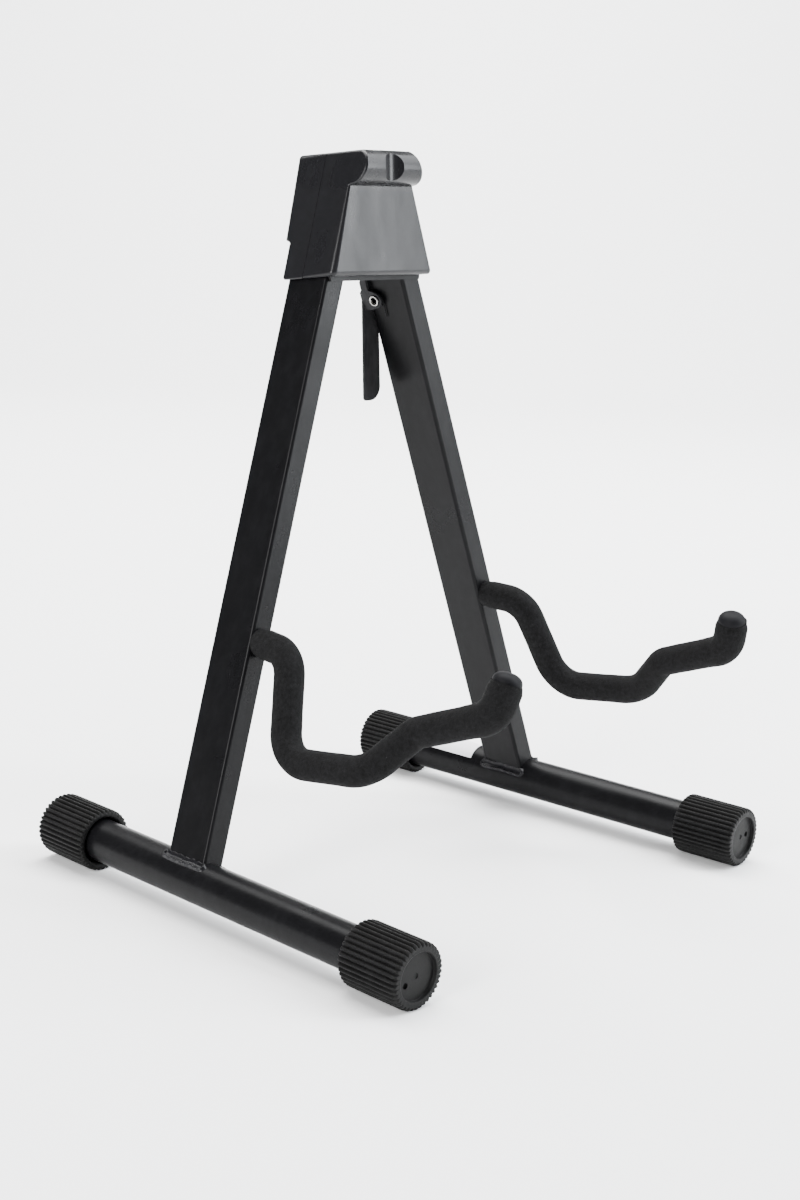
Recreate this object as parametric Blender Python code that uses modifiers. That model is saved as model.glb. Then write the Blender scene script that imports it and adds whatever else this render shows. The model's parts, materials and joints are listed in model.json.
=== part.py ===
"""Folding A-frame guitar stand: two hinged legs on round foot tubes, a moulded
head over a steel bracket, foam covered yoke arms and a release lever.

Sizes are in millimetres here and become metres in the helper functions.
X is the stand's right seen from the front, Y points to its back and Z up.
"""
import math

import bmesh
import bpy
from mathutils import Matrix, Vector

OBJECT_NAME = "guitar_stand"
MM = 0.001

# General clearances
GAP = 0.3
FINE_GAP = 0.2

# Stance: each leg leans sideways, and the plane of both legs leans back
LEG_SPREAD = math.radians(19.0)
PLANE_LEAN = math.radians(5.0)
TUBE_TOE_OUT = math.radians(2.5)
# Heights run along the leaning plane from the axis of the foot tubes
PIVOT_HEIGHT = 383.0
PIVOT_HALF_GAP = 14.323
FOOT_HALF_SPAN = PIVOT_HALF_GAP + PIVOT_HEIGHT * math.tan(LEG_SPREAD)

# Foot tubes and their rubber caps
FOOT_TUBE_RADIUS = 12.5
FOOT_TUBE_WALL = 1.5
CAP_RADIUS = 18.4
CAP_LENGTH = 40.7
CAP_END_WALL = 4.0
CAP_RIBS = 38
CAP_RIB_DEPTH = 1.3
CAP_END_CHAMFER = 2.4
CAP_RECESS_RADIUS = 12.3
CAP_RECESS_DEPTH = 1.0
CAP_MOUTH_RADIUS = 14.0
CAP_MOUTH_DEPTH = 5.0
REACH_FRONT = 175.4
REACH_BACK = 119.0

# Legs: rectangular steel tube
LEG_WIDTH = 15.0
LEG_DEPTH = 30.0
LEG_WALL = 1.5
LEG_CORNER = 1.5
WELD_RADIUS = 1.3
WELD_LENGTH = 32.0

# Pivots in the head
PIVOT_BOLT_RADIUS = 3.0
PIVOT_HOLE_RADIUS = 3.3
SLEEVE_RADIUS = 4.6
BOLT_HEAD_FLATS = 10.0
BOLT_HEAD_THICKNESS = 2.6
NUT_THICKNESS = 2.3

# Steel bracket
BRACKET_GAP = 0.3
BRACKET_THICKNESS = 1.6
BRACKET_FACE = LEG_DEPTH / 2 + BRACKET_GAP + BRACKET_THICKNESS
BRACKET_REAR_DROP = 46.0
BRACKET_REAR_HEIGHT = PIVOT_HEIGHT - BRACKET_REAR_DROP
BRACKET_REAR_CORNER = 8.0
# The web clears the rounded tops of the legs
BRACKET_WEB_ROOM = 1.1
BRACKET_WEB_HEIGHT = PIVOT_HEIGHT + LEG_WIDTH / 2 + BRACKET_WEB_ROOM
STOP_DROP = 40.0
STOP_LENGTH = 29.0
STOP_LOW = PIVOT_HEIGHT - STOP_DROP
STOP_HIGH = STOP_LOW + STOP_LENGTH
SKIRT_SHOULDER_DROP = 6.0
SKIRT_INSET = 2.5
SKIRT_SHOWS = 2.6
KEEPER_NOTCH_WIDTH = 4.2
KEEPER_NOTCH_RISE = 3.5
KEEPER_NOTCH_SHIFT = 2.0

# Moulded head
HEAD_WALL = 1.8
HEAD_EDGE_ROUND = 1.5
HEAD_TOP_ROOM = 6.4
HEAD_TOP = BRACKET_WEB_HEIGHT + BRACKET_THICKNESS + HEAD_WALL + HEAD_TOP_ROOM
HEAD_HEIGHT = 70.0
HEAD_LOW = HEAD_TOP - HEAD_HEIGHT
HEAD_BACK_LIP = 1.6
HEAD_BACK_LOW = HEAD_LOW - HEAD_BACK_LIP
BRACKET_SKIRT_HEIGHT = HEAD_LOW - SKIRT_SHOWS
# The head's sides stand outside the legs and close in a little less than they do
HEAD_MARGIN = 4.28
HEAD_SIDE_SLOPE = math.tan(LEG_SPREAD - math.radians(1.0))
# How far the cutter of a cover's room runs out past its open sides
ROOM_OVERRUN = 9.0
BOLT_HEAD_ROOM = 1.3
PANEL_SLANT = 1.0
PANEL_DEPTH_HIGH = BRACKET_FACE + BOLT_HEAD_THICKNESS + HEAD_WALL + BOLT_HEAD_ROOM
PANEL_DEPTH_LOW = PANEL_DEPTH_HIGH + PANEL_SLANT
HEAD_BACK_STEP_RISE = 20.6
HEAD_BACK_STEP = HEAD_LOW + HEAD_BACK_STEP_RISE
HEAD_BACK_DEPTH_LOW = LEG_DEPTH / 2 + 1.0
NUT_ROOM = 3.7
HEAD_BACK_SLANT = 2.3
HEAD_BACK_DEPTH_TOP = BRACKET_FACE + NUT_THICKNESS + NUT_ROOM
HEAD_BACK_DEPTH_MID = HEAD_BACK_DEPTH_TOP - HEAD_BACK_SLANT
NOSE_RADIUS = 10.0
NOSE_DROP = 8.8
NOSE_CENTRE_DEPTH = PANEL_DEPTH_HIGH + 0.6
NOSE_CENTRE_HEIGHT = HEAD_TOP - NOSE_DROP
NOTCH_RADIUS = 10.8
NOTCH_CENTRE_DEPTH = NOSE_CENTRE_DEPTH + 17.2
NOTCH_WALL_HEIGHT = 18.5
SCREW_DROPS = (25.0, 6.5)
SCREW_HEIGHTS = tuple(PIVOT_HEIGHT - drop for drop in SCREW_DROPS)
BOSS_RADIUS = 3.6
SCREW_RADIUS = 1.5
SCREW_HEAD_RADIUS = 3.0
SCREW_HEAD_THICKNESS = 1.8
SCREW_LENGTH = 27.0

# Yoke arms: steel rod in a foam sleeve with a plastic tip
ROD_RADIUS = 4.0
FOAM_RADIUS = 8.4
YOKE_HEIGHT = 129.6
YOKE_INSERT = 5.0
FOAM_START = 0.4
TIP_LENGTH = 7.5
TIP_RADIUS = 8.7
TIP_SOCKET = 3.5
# Corners of the bent rod on the right, counted from where it leaves the leg, and bend radii
YOKE_CORNERS = (
    (3.4, -27.3, -0.7),
    (23.3, -44.9, -54.6),
    (24.4, -105.7, -45.4),
    (12.8, -128.1, -20.3),
    (7.8, -175.3, -1.8),
    (4.4, -178.8, 15.6),
)
YOKE_BENDS = (18.0, 20.0, 30.0, 13.0, 16.0)

# Release lever on the right leg. Its nose reaches up in front of the keeper notch
NOSE_OVERLAP = 8.0
LEVER_NOSE_TOP = BRACKET_REAR_HEIGHT + NOSE_OVERLAP
RIVET_DROP = 25.2
RIVET_HEIGHT = LEVER_NOSE_TOP - RIVET_DROP
RIVET_SETBACK = 7.0
RIVET_DEPTH = -(LEG_DEPTH / 2 - RIVET_SETBACK)
RIVET_RADIUS = 2.6
RIVET_BORE = 1.9
RIVET_FLANGE = 3.4
RIVET_FLANGE_THICKNESS = 0.8
LEVER_THICKNESS = 1.5
SPACER_RADIUS = 3.6
SPACER_THICKNESS = 1.2
SPRING_WIRE = 0.4
SPRING_RADIUS = 4.6
SPRING_TAIL = 11.0
SPRING_HOOK = (-14.2, -8.0)
EAR_RADIUS = 5.0
EAR_DROP = 6.0
EAR_NECK = 6.5
NOSE_WIDTH = 3.5
TAIL_GAP = 2.0
TAIL_FRONT = -(LEG_DEPTH / 2 + TAIL_GAP)
TAIL_BACK = TAIL_FRONT - LEVER_THICKNESS
# The fold between side plate and tail, up the leg from the rivet
FOLD_LOW = 6.5
FOLD_HIGH = 11.5
# Tail seen from the front, across and up from the rivet's place on the leg's inner face
TAIL_END = ((-2.8, -62.6), (-1.2, -64.0))
TAIL_CORNER = (2.6, -55.0)
TAIL_CORNER_RADIUS = 9.0
TAIL_ROOT = ((11.6, -12.8), (8.6, -5.3), (-2.9, 0.2), (-2.3, -4.8))

STEEL_BLACK = (0.018, 0.018, 0.020)
PLASTIC_BLACK = (0.022, 0.022, 0.024)
RUBBER_BLACK = (0.012, 0.012, 0.012)
FOAM_BLACK = (0.014, 0.014, 0.015)
ZINC = (0.55, 0.55, 0.56)

LEFT = -1
RIGHT = 1
SIDES = {"left": LEFT, "right": RIGHT}


# Directions and places

AXIS_X = Vector((1, 0, 0))
PLANE_NORMAL = Vector((0, -math.cos(PLANE_LEAN), math.sin(PLANE_LEAN)))
PLANE_UP = Vector((0, math.sin(PLANE_LEAN), math.cos(PLANE_LEAN)))
# Middle of the foot tubes under the legs, on the stand's centre plane
PLANE_ORIGIN = Vector((0, 0, CAP_RADIUS))


def in_plane(x, depth, height):
    """Point given across, forward of and up the leaning plane."""
    return PLANE_ORIGIN + AXIS_X * x + PLANE_NORMAL * depth + PLANE_UP * height


def leg_centre_x(height):
    return FOOT_HALF_SPAN - height * math.tan(LEG_SPREAD)


def leg_outer_x(height):
    return leg_centre_x(height) + LEG_WIDTH / 2 / math.cos(LEG_SPREAD)


def head_half_width(height):
    return leg_outer_x(HEAD_LOW) + HEAD_MARGIN - (height - HEAD_LOW) * HEAD_SIDE_SLOPE


def leg_axes(side):
    """Outward across the leg, forward, and up along it."""
    up = (-side * math.sin(LEG_SPREAD)) * AXIS_X + math.cos(LEG_SPREAD) * PLANE_UP
    across = (side * math.cos(LEG_SPREAD)) * AXIS_X + math.sin(LEG_SPREAD) * PLANE_UP
    return across, PLANE_NORMAL, up


def on_leg(side, across, depth, height):
    """Point on a leg: distance across it, forward, and at a plane height of its centre line."""
    axis_across, axis_depth, _ = leg_axes(side)
    centre = in_plane(side * leg_centre_x(height), 0, height)
    return centre + axis_across * across + axis_depth * depth


def tube_direction(side):
    return Vector((side * math.sin(TUBE_TOE_OUT), -math.cos(TUBE_TOE_OUT), 0))


def tube_centre(side):
    return Vector((side * FOOT_HALF_SPAN, 0, CAP_RADIUS))


# Scene and materials

def clear_scene():
    for item in list(bpy.data.objects):
        bpy.data.objects.remove(item, do_unlink=True)


def new_collection(name):
    collection = bpy.data.collections.new(name)
    bpy.context.scene.collection.children.link(collection)
    return collection


def principled(name, colour, roughness, metallic=0.0):
    material = bpy.data.materials.new(name)
    material.use_nodes = True
    shader = material.node_tree.nodes["Principled BSDF"]
    shader.inputs["Base Color"].default_value = (*colour, 1.0)
    shader.inputs["Roughness"].default_value = roughness
    shader.inputs["Metallic"].default_value = metallic
    return material


def steel_paint(name):
    return principled(name, STEEL_BLACK, 0.38)


def plastic(name):
    return principled(name, PLASTIC_BLACK, 0.42)


def rubber(name):
    return principled(name, RUBBER_BLACK, 0.75)


def foam(name):
    return principled(name, FOAM_BLACK, 0.95)


def zinc(name):
    return principled(name, ZINC, 0.3, 1.0)


# Mesh helpers

def finish_mesh(name, mesh_data, collection, material, origin):
    """Object from a bmesh whose points are in stand millimetres, placed at its origin point."""
    for vertex in mesh_data.verts:
        vertex.co = (vertex.co - origin) * MM
    bmesh.ops.recalc_face_normals(mesh_data, faces=mesh_data.faces)
    mesh = bpy.data.meshes.new(name)
    mesh_data.to_mesh(mesh)
    mesh_data.free()
    piece = bpy.data.objects.new(name, mesh)
    piece.location = origin * MM
    collection.objects.link(piece)
    if material:
        mesh.materials.append(material)
    return piece


def add_ring(mesh_data, points):
    return [mesh_data.verts.new(point) for point in points]


def bridge(mesh_data, first, second):
    count = len(first)
    for index in range(count):
        after = (index + 1) % count
        mesh_data.faces.new((first[index], first[after], second[after], second[index]))


def loft(rings, closed=False):
    """Solid through rings of points: capped at both ends, or joined end to end."""
    mesh_data = bmesh.new()
    loops = [add_ring(mesh_data, ring) for ring in rings]
    for first, second in zip(loops, loops[1:]):
        bridge(mesh_data, first, second)
    if closed:
        bridge(mesh_data, loops[-1], loops[0])
    else:
        mesh_data.faces.new(loops[0])
        mesh_data.faces.new(loops[-1])
    return mesh_data


def prism(name, outline, place, low, high, collection, material):
    """Outline of 2D points, pushed from depth low to high; place turns (u, w, depth) into a point."""
    rings = [[place(u, w, depth) for u, w in outline] for depth in (low, high)]
    origin = sum((point for ring in rings for point in ring), Vector()) / (2 * len(outline))
    return finish_mesh(name, loft(rings), collection, material, origin)


def across_axes(axis):
    """Two directions square to an axis; the first one lies level."""
    level = axis.cross(Vector((0, 0, 1)))
    if level.length < 0.01:
        level = Vector((1, 0, 0))
    level.normalize()
    return level, level.cross(axis).normalized()


def circle_points(centre, axis, radius, count, phase=0.0):
    first, second = across_axes(axis)
    points = []
    for index in range(count):
        angle = phase + 2 * math.pi * index / count
        points.append(centre + radius * (math.cos(angle) * first + math.sin(angle) * second))
    return points


def turned(name, base, axis, profile, count, collection, material, closed=False):
    """Solid of revolution: profile is a list of (distance along the axis, radius)."""
    rings = [circle_points(base + axis * along, axis, radius, count) for along, radius in profile]
    return finish_mesh(name, loft(rings, closed), collection, material, base)


def cut(piece, cutter, name):
    change = piece.modifiers.new(name, "BOOLEAN")
    change.operation = "DIFFERENCE"
    change.solver = "EXACT"
    change.object = cutter


def join_solid(piece, other, name):
    change = piece.modifiers.new(name, "BOOLEAN")
    change.operation = "UNION"
    change.solver = "EXACT"
    change.object = other


def common_solid(piece, other, name):
    change = piece.modifiers.new(name, "BOOLEAN")
    change.operation = "INTERSECT"
    change.solver = "EXACT"
    change.object = other


def attach(piece, parent):
    """Parent a piece and leave it where it stands."""
    bpy.context.view_layer.update()
    piece.parent = parent
    piece.matrix_parent_inverse = parent.matrix_world.inverted()


def arc(centre_u, centre_w, radius, start, end, steps):
    points = []
    for index in range(steps + 1):
        angle = math.radians(start + (end - start) * index / steps)
        points.append((centre_u + radius * math.cos(angle), centre_w + radius * math.sin(angle)))
    return points


# Foot tubes and caps

def build_foot_tube(name, side, parts):
    axis = tube_direction(side)
    tube_end = CAP_END_WALL + CAP_RECESS_DEPTH + GAP
    low = -REACH_BACK + tube_end
    high = REACH_FRONT - tube_end
    inner = FOOT_TUBE_RADIUS - FOOT_TUBE_WALL
    profile = [(low, inner), (low, FOOT_TUBE_RADIUS), (high, FOOT_TUBE_RADIUS), (high, inner)]
    return turned(name, tube_centre(side), axis, profile, 32, parts, steel_paint(name), closed=True)


def ribbed_ring(centre, axis, crest, valley):
    """Ring of flat rib crests and valleys, with one crest straight down."""
    first, second = across_axes(axis)
    pitch = 2 * math.pi / CAP_RIBS
    points = []
    for index in range(CAP_RIBS):
        middle = -math.pi / 2 + index * pitch
        half_crest = 0.27 * pitch
        crest_radius = crest / math.cos(half_crest)
        steps = (
            (-half_crest, crest_radius),
            (half_crest, crest_radius),
            (pitch / 2, valley),
        )
        for offset, radius in steps:
            angle = middle + offset
            points.append(centre + radius * (math.cos(angle) * first + math.sin(angle) * second))
    return points


def build_foot_cap(name, side, end, parts):
    """Rubber cap; end is 1 at the front and -1 at the back."""
    axis = tube_direction(side) * end
    reach = REACH_FRONT if end > 0 else REACH_BACK
    face = tube_centre(side) + axis * reach
    mouth = face - axis * CAP_LENGTH
    valley = CAP_RADIUS - CAP_RIB_DEPTH
    end_radius = CAP_RADIUS - CAP_END_CHAMFER
    bore = FOOT_TUBE_RADIUS + GAP
    floor = CAP_END_WALL + CAP_RECESS_DEPTH

    def plain(distance, radius):
        return ribbed_ring(face - axis * distance, axis, radius, radius)

    rings = [
        plain(floor, bore),
        plain(CAP_LENGTH - CAP_MOUTH_DEPTH, bore),
        plain(CAP_LENGTH, CAP_MOUTH_RADIUS),
        ribbed_ring(mouth, axis, CAP_RADIUS, valley),
        ribbed_ring(face - axis * CAP_END_CHAMFER, axis, CAP_RADIUS, valley),
        plain(0, end_radius),
        plain(0, CAP_RECESS_RADIUS),
        plain(CAP_RECESS_DEPTH, CAP_RECESS_RADIUS),
    ]
    return finish_mesh(name, loft(rings), parts, rubber(name), face)


# Legs

def rounded_rectangle(half_u, half_w, radius, steps=3):
    points = []
    corners = ((1, 1, 0), (-1, 1, 90), (-1, -1, 180), (1, -1, 270))
    for sign_u, sign_w, start in corners:
        centre_u = sign_u * (half_u - radius)
        centre_w = sign_w * (half_w - radius)
        points.extend(arc(centre_u, centre_w, radius, start, start + 90, steps))
    return points


def build_leg(name, side, parts, cutters):
    across, forward, up = leg_axes(side)
    base = on_leg(side, 0, 0, 0)
    length = PIVOT_HEIGHT / math.cos(LEG_SPREAD) + LEG_WIDTH / 2

    def placed(along):
        return lambda u, w, depth: base + across * u + forward * w + up * (along + depth)

    outline = rounded_rectangle(LEG_WIDTH / 2, LEG_DEPTH / 2, LEG_CORNER)
    bore = rounded_rectangle(LEG_WIDTH / 2 - LEG_WALL, LEG_DEPTH / 2 - LEG_WALL, LEG_CORNER / 2)
    leg = prism(name, outline, placed(0), 0, length, parts, steel_paint(name))
    hollow = prism(name + "_bore", bore, placed(0), -20, length + 20, cutters, None)
    cut(leg, hollow, "hollow")

    # The foot is coped to sit on its round tube
    axis = tube_direction(side)
    saddle = turned(name + "_saddle", tube_centre(side), axis,
                    [(-60, FOOT_TUBE_RADIUS + GAP), (60, FOOT_TUBE_RADIUS + GAP)], 64, cutters, None)
    cut(leg, saddle, "saddle")

    # The top is rounded about the pivot, so that it turns inside the bracket
    pivot = on_leg(side, 0, 0, PIVOT_HEIGHT)
    half = LEG_WIDTH / 2
    reach = half + 4

    def at_pivot(u, w, depth):
        return pivot + across * u + up * w + forward * depth

    over = [(-reach, 0), (-half, 0)] + arc(0, 0, half, 180, 0, 16)[1:-1] + [(half, 0), (reach, 0)]
    over += [(reach, reach), (-reach, reach)]
    trim = prism(name + "_round", over, at_pivot, -LEG_DEPTH, LEG_DEPTH, cutters, None)
    cut(leg, trim, "rounded_top")
    hole = turned(name + "_pivot_hole", pivot, forward,
                  [(-LEG_DEPTH, PIVOT_HOLE_RADIUS), (LEG_DEPTH, PIVOT_HOLE_RADIUS)], 24, cutters, None)
    cut(leg, hole, "pivot_hole")

    # Hole in the front wall for the yoke rod
    path = yoke_path(side)
    start = path[0]
    heading = (path[1] - path[0]).normalized()
    socket = turned(name + "_rod_hole", start, heading,
                    [(-2, ROD_RADIUS + GAP), (LEG_DEPTH / 2, ROD_RADIUS + GAP)], 24, cutters, None)
    cut(leg, socket, "rod_hole")
    if side == RIGHT:
        inner_wall = rivet_point(0)
        rivet_hole = turned(name + "_rivet_hole", inner_wall, -across,
                            [(-5, RIVET_RADIUS + GAP), (5, RIVET_RADIUS + GAP)], 24, cutters, None)
        cut(leg, rivet_hole, "rivet_hole")
    return leg


def build_weld(name, side, flank, parts):
    """Bead in the corner of the leg and its foot tube; flank is 1 on the outer side."""
    across, forward, up = leg_axes(side)
    away = LEG_WIDTH / 2 + GAP + WELD_RADIUS
    ring = FOOT_TUBE_RADIUS + GAP + WELD_RADIUS
    rise = math.sqrt(ring ** 2 - away ** 2)
    axis = tube_direction(side)
    upright = (up - axis * up.dot(axis)).normalized()
    outward = upright.cross(axis).normalized()
    if outward.dot(across) < 0:
        outward = -outward
    middle = tube_centre(side) + outward * flank * away + upright * rise
    half = WELD_LENGTH / 2
    lean = axis * (up.dot(axis) / up.dot(upright) * rise)
    profile = [(-half, WELD_RADIUS * 0.6), (-half + 1, WELD_RADIUS), (half - 1, WELD_RADIUS),
               (half, WELD_RADIUS * 0.6)]
    return turned(name, middle + lean, axis, profile, 12, parts, steel_paint(name))


# Yoke arms

def rounded_path(corners, radii, steps=4):
    """Points along straight runs joined by round bends."""
    points = [corners[0]]
    for before, corner, after, radius in zip(corners, corners[1:], corners[2:], radii):
        back = (before - corner).normalized()
        ahead = (after - corner).normalized()
        half_angle = back.angle(ahead) / 2
        reach = radius / math.tan(half_angle)
        middle = (back + ahead).normalized()
        centre = corner + middle * (radius / math.sin(half_angle))
        first = corner + back * reach - centre
        last = corner + ahead * reach - centre
        turn = first.angle(last)
        axis = first.cross(last).normalized()
        for index in range(steps + 1):
            points.append(centre + Matrix.Rotation(turn * index / steps, 3, axis) @ first)
    points.append(corners[-1])
    return points


def yoke_corners(side):
    face = in_plane(leg_centre_x(YOKE_HEIGHT), LEG_DEPTH / 2, YOKE_HEIGHT)
    corners = [face + Vector(corner) for corner in YOKE_CORNERS]
    heading = (corners[0] - face).normalized()
    start = face - heading * YOKE_INSERT
    flip = Vector((side, 1, 1))
    return [corner * flip for corner in [start] + corners]


def yoke_path(side):
    return rounded_path(yoke_corners(side), YOKE_BENDS)


def sweep(name, path, radii, collection, material, start_plane=None):
    """Tube along a path; radii is (outer, inner), and inner 0 makes a solid rod.

    start_plane is (point, normal) of a face that the tube's first end is cut parallel to.
    """
    outer, inner = radii
    tangents = []
    for index, _ in enumerate(path):
        before = path[max(index - 1, 0)]
        after = path[min(index + 1, len(path) - 1)]
        tangents.append((after - before).normalized())
    side_axis = tangents[0].cross(Vector((0, 0, 1))).normalized()
    frames = []
    for tangent in tangents:
        side_axis = (side_axis - tangent * side_axis.dot(tangent)).normalized()
        frames.append((side_axis.copy(), tangent.cross(side_axis)))

    def rings(radius, count):
        result = []
        for point, (first, second) in zip(path, frames):
            angles = [2 * math.pi * index / count for index in range(count)]
            result.append([point + radius * (math.cos(a) * first + math.sin(a) * second)
                           for a in angles])
        if start_plane:
            face, normal = start_plane
            heading = tangents[0]
            result[0] = [point + heading * ((face - point).dot(normal) / heading.dot(normal))
                         for point in result[0]]
        return result

    count = 18 if inner else 12
    loops = rings(outer, count)
    if inner:
        loops = loops + rings(inner, count)[::-1]
    return finish_mesh(name, loft(loops, closed=bool(inner)), collection, material, path[0])


def trimmed(path, start, end):
    """Path with a length taken off each end."""
    result = [point.copy() for point in path]
    result[0] = result[0] + (result[1] - result[0]).normalized() * start
    result[-1] = result[-1] + (result[-2] - result[-1]).normalized() * end
    return result


def build_yoke(word, side, parts):
    path = yoke_path(side)
    rod = sweep(word + "_yoke_rod", path, (ROD_RADIUS, 0), parts, steel_paint(word + "_yoke_rod"))
    foam_path = trimmed(path, YOKE_INSERT + FOAM_START, TIP_SOCKET)
    leg_face = in_plane(0, LEG_DEPTH / 2 + FOAM_START, YOKE_HEIGHT)
    sleeve = sweep(word + "_foam_sleeve", foam_path, (FOAM_RADIUS, ROD_RADIUS + GAP), parts,
                   foam(word + "_foam_sleeve"), start_plane=(leg_face, PLANE_NORMAL))
    axis = (path[-1] - path[-2]).normalized()
    base = foam_path[-1] + axis * GAP
    depth = TIP_SOCKET + GAP
    dome = [(TIP_LENGTH * math.sin(angle), TIP_RADIUS * math.cos(angle))
            for angle in (math.radians(step) for step in (20, 40, 58, 74, 84))]
    profile = [(depth, ROD_RADIUS + GAP), (0, ROD_RADIUS + GAP), (0, TIP_RADIUS)] + dome
    name = word + "_tip_cap"
    tip = turned(name, base, axis, profile, 24, parts, plastic(name))
    return rod, sleeve, tip


# Head

def head_side_outline(inset=0.0, overrun=0.0):
    """Front cover from the side, as (depth, height), from the seam round the nose and down."""
    radius = NOSE_RADIUS - inset
    low = HEAD_LOW - overrun
    top = HEAD_TOP - inset
    outline = [(-overrun, low), (-overrun, top)]
    outline += arc(NOSE_CENTRE_DEPTH, NOSE_CENTRE_HEIGHT, radius, 70, -80, 10)
    outline += [(PANEL_DEPTH_HIGH - inset, NOSE_CENTRE_HEIGHT - radius - 0.4),
                (PANEL_DEPTH_LOW - inset, low)]
    return outline


def head_front_outline(inset=0.0):
    low = HEAD_LOW - 20
    high = HEAD_TOP + 20
    slope = math.sqrt(1 + HEAD_SIDE_SLOPE ** 2)
    near = head_half_width(low) - inset * slope
    far = head_half_width(high) - inset * slope
    return [(-near, low), (near, low), (far, high), (-far, high)]


def side_view(u, w, depth):
    return in_plane(depth, u, w)


def front_view(u, w, depth):
    return in_plane(u, depth, w)


def head_shell(name, side_outline, inner_outline, parts, cutters, material):
    """Shell shaped by a side outline and the sloping sides, open where the inner one runs out."""
    shell = prism(name, side_outline, side_view, -60, 60, parts, material)
    sides = prism(name + "_sides", head_front_outline(), front_view, -60, 60, cutters, None)
    common_solid(shell, sides, "sloping_sides")
    edges = shell.modifiers.new("soft_edges", "BEVEL")
    edges.width = HEAD_EDGE_ROUND * MM
    edges.segments = 2
    edges.limit_method = "ANGLE"
    edges.angle_limit = math.radians(40)
    room = prism(name + "_room", inner_outline, side_view, -60, 60, cutters, None)
    room_sides = prism(name + "_room_sides", head_front_outline(HEAD_WALL), front_view, -60, 60,
                       cutters, None)
    common_solid(room, room_sides, "sloping_sides")
    cut(shell, room, "room")
    return shell


def build_front_cover(parts, cutters):
    name = "head_front_cover"
    cover = head_shell(name, head_side_outline(), head_side_outline(HEAD_WALL, ROOM_OVERRUN), parts, cutters,
                       plastic(name))
    groove = turned("nose_groove", in_plane(0, NOTCH_CENTRE_DEPTH, HEAD_TOP + 12), -PLANE_UP,
                    [(0, NOTCH_RADIUS), (32, NOTCH_RADIUS)], 32, cutters, None)
    lining = turned("nose_lining", in_plane(0, NOTCH_CENTRE_DEPTH, HEAD_TOP - 0.5), -PLANE_UP,
                    [(0, NOTCH_RADIUS + HEAD_WALL), (NOTCH_WALL_HEIGHT, NOTCH_RADIUS + HEAD_WALL)],
                    32, cutters, None)
    inside = prism("nose_inside", head_side_outline(0.5), side_view, -30, 30, cutters, None)
    common_solid(lining, inside, "within_cover")
    join_solid(cover, lining, "groove_wall")
    cut(cover, groove, "groove")
    for height in SCREW_HEIGHTS:
        tag = "_%d" % height
        wall = PANEL_DEPTH_HIGH - HEAD_WALL / 2
        boss = turned("front_boss" + tag, in_plane(0, 0.15, height), PLANE_NORMAL,
                      [(0, BOSS_RADIUS), (wall, BOSS_RADIUS)], 24, cutters, None)
        join_solid(cover, boss, "boss" + tag)
        pilot = turned("front_pilot" + tag, in_plane(0, -5, height), PLANE_NORMAL,
                       [(0, SCREW_RADIUS + FINE_GAP), (20, SCREW_RADIUS + FINE_GAP)], 16, cutters, None)
        cut(cover, pilot, "pilot" + tag)
    return cover


def rear_outline(inset=0.0, overrun=0.0):
    """Rear cover from the side, as (depth, height): side walls low down, a bulge above."""
    front = -GAP + overrun
    low = HEAD_BACK_LOW - overrun
    outline = [(front, low), (front, HEAD_TOP - inset)]
    outline += [(-HEAD_BACK_DEPTH_TOP + 2.5 + inset / 2, HEAD_TOP - 0.8 - inset)]
    outline += [(-HEAD_BACK_DEPTH_TOP + inset, HEAD_TOP - 3.3 - inset / 2)]
    outline += [(-HEAD_BACK_DEPTH_MID + inset, HEAD_BACK_STEP + 3 + inset)]
    if inset:
        outline += [(-HEAD_BACK_DEPTH_MID + inset, low)]
    else:
        outline += [(-HEAD_BACK_DEPTH_LOW - 1, HEAD_BACK_STEP), (-HEAD_BACK_DEPTH_LOW, HEAD_BACK_STEP - 2)]
        outline += [(-HEAD_BACK_DEPTH_LOW, HEAD_BACK_LOW)]
    return outline


def build_rear_cover(parts, cutters):
    name = "head_rear_cover"
    cover = head_shell(name, rear_outline(), rear_outline(HEAD_WALL, ROOM_OVERRUN), parts, cutters,
                       plastic(name))
    for height in SCREW_HEIGHTS:
        tag = "_%d" % height
        boss = turned("rear_boss" + tag, in_plane(0, -GAP, height), -PLANE_NORMAL,
                      [(0, BOSS_RADIUS), (screw_seat(height) - 0.5, BOSS_RADIUS)], 24, cutters, None)
        join_solid(cover, boss, "boss" + tag)
        hole = turned("rear_hole" + tag, in_plane(0, 5, height), -PLANE_NORMAL,
                      [(0, SCREW_RADIUS + GAP), (40, SCREW_RADIUS + GAP)], 16, cutters, None)
        cut(cover, hole, "hole" + tag)
        seat = turned("rear_seat" + tag, in_plane(0, -screw_seat(height) + GAP, height), -PLANE_NORMAL,
                      [(0, SCREW_HEAD_RADIUS + GAP), (10, SCREW_HEAD_RADIUS + GAP)], 20, cutters, None)
        cut(cover, seat, "seat" + tag)
    return cover


def screw_seat(height):
    """Depth behind the plane at which a cover screw's head starts."""
    rise = (height - HEAD_BACK_STEP) / (HEAD_TOP - HEAD_BACK_STEP)
    outer = HEAD_BACK_DEPTH_MID + (HEAD_BACK_DEPTH_TOP - HEAD_BACK_DEPTH_MID) * rise
    return outer - SCREW_HEAD_THICKNESS + 0.8


def build_cover_screw(name, height, parts):
    seat = screw_seat(height)
    base = in_plane(0, -seat - SCREW_HEAD_THICKNESS, height)
    profile = [(0, SCREW_HEAD_RADIUS - 0.8), (0.7, SCREW_HEAD_RADIUS),
               (SCREW_HEAD_THICKNESS, SCREW_HEAD_RADIUS), (SCREW_HEAD_THICKNESS, SCREW_RADIUS),
               (SCREW_HEAD_THICKNESS + SCREW_LENGTH, SCREW_RADIUS)]
    return turned(name, base, PLANE_NORMAL, profile, 20, parts, zinc(name))


def plate_half_width(height):
    return leg_outer_x(height) + GAP + BRACKET_THICKNESS


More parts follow.
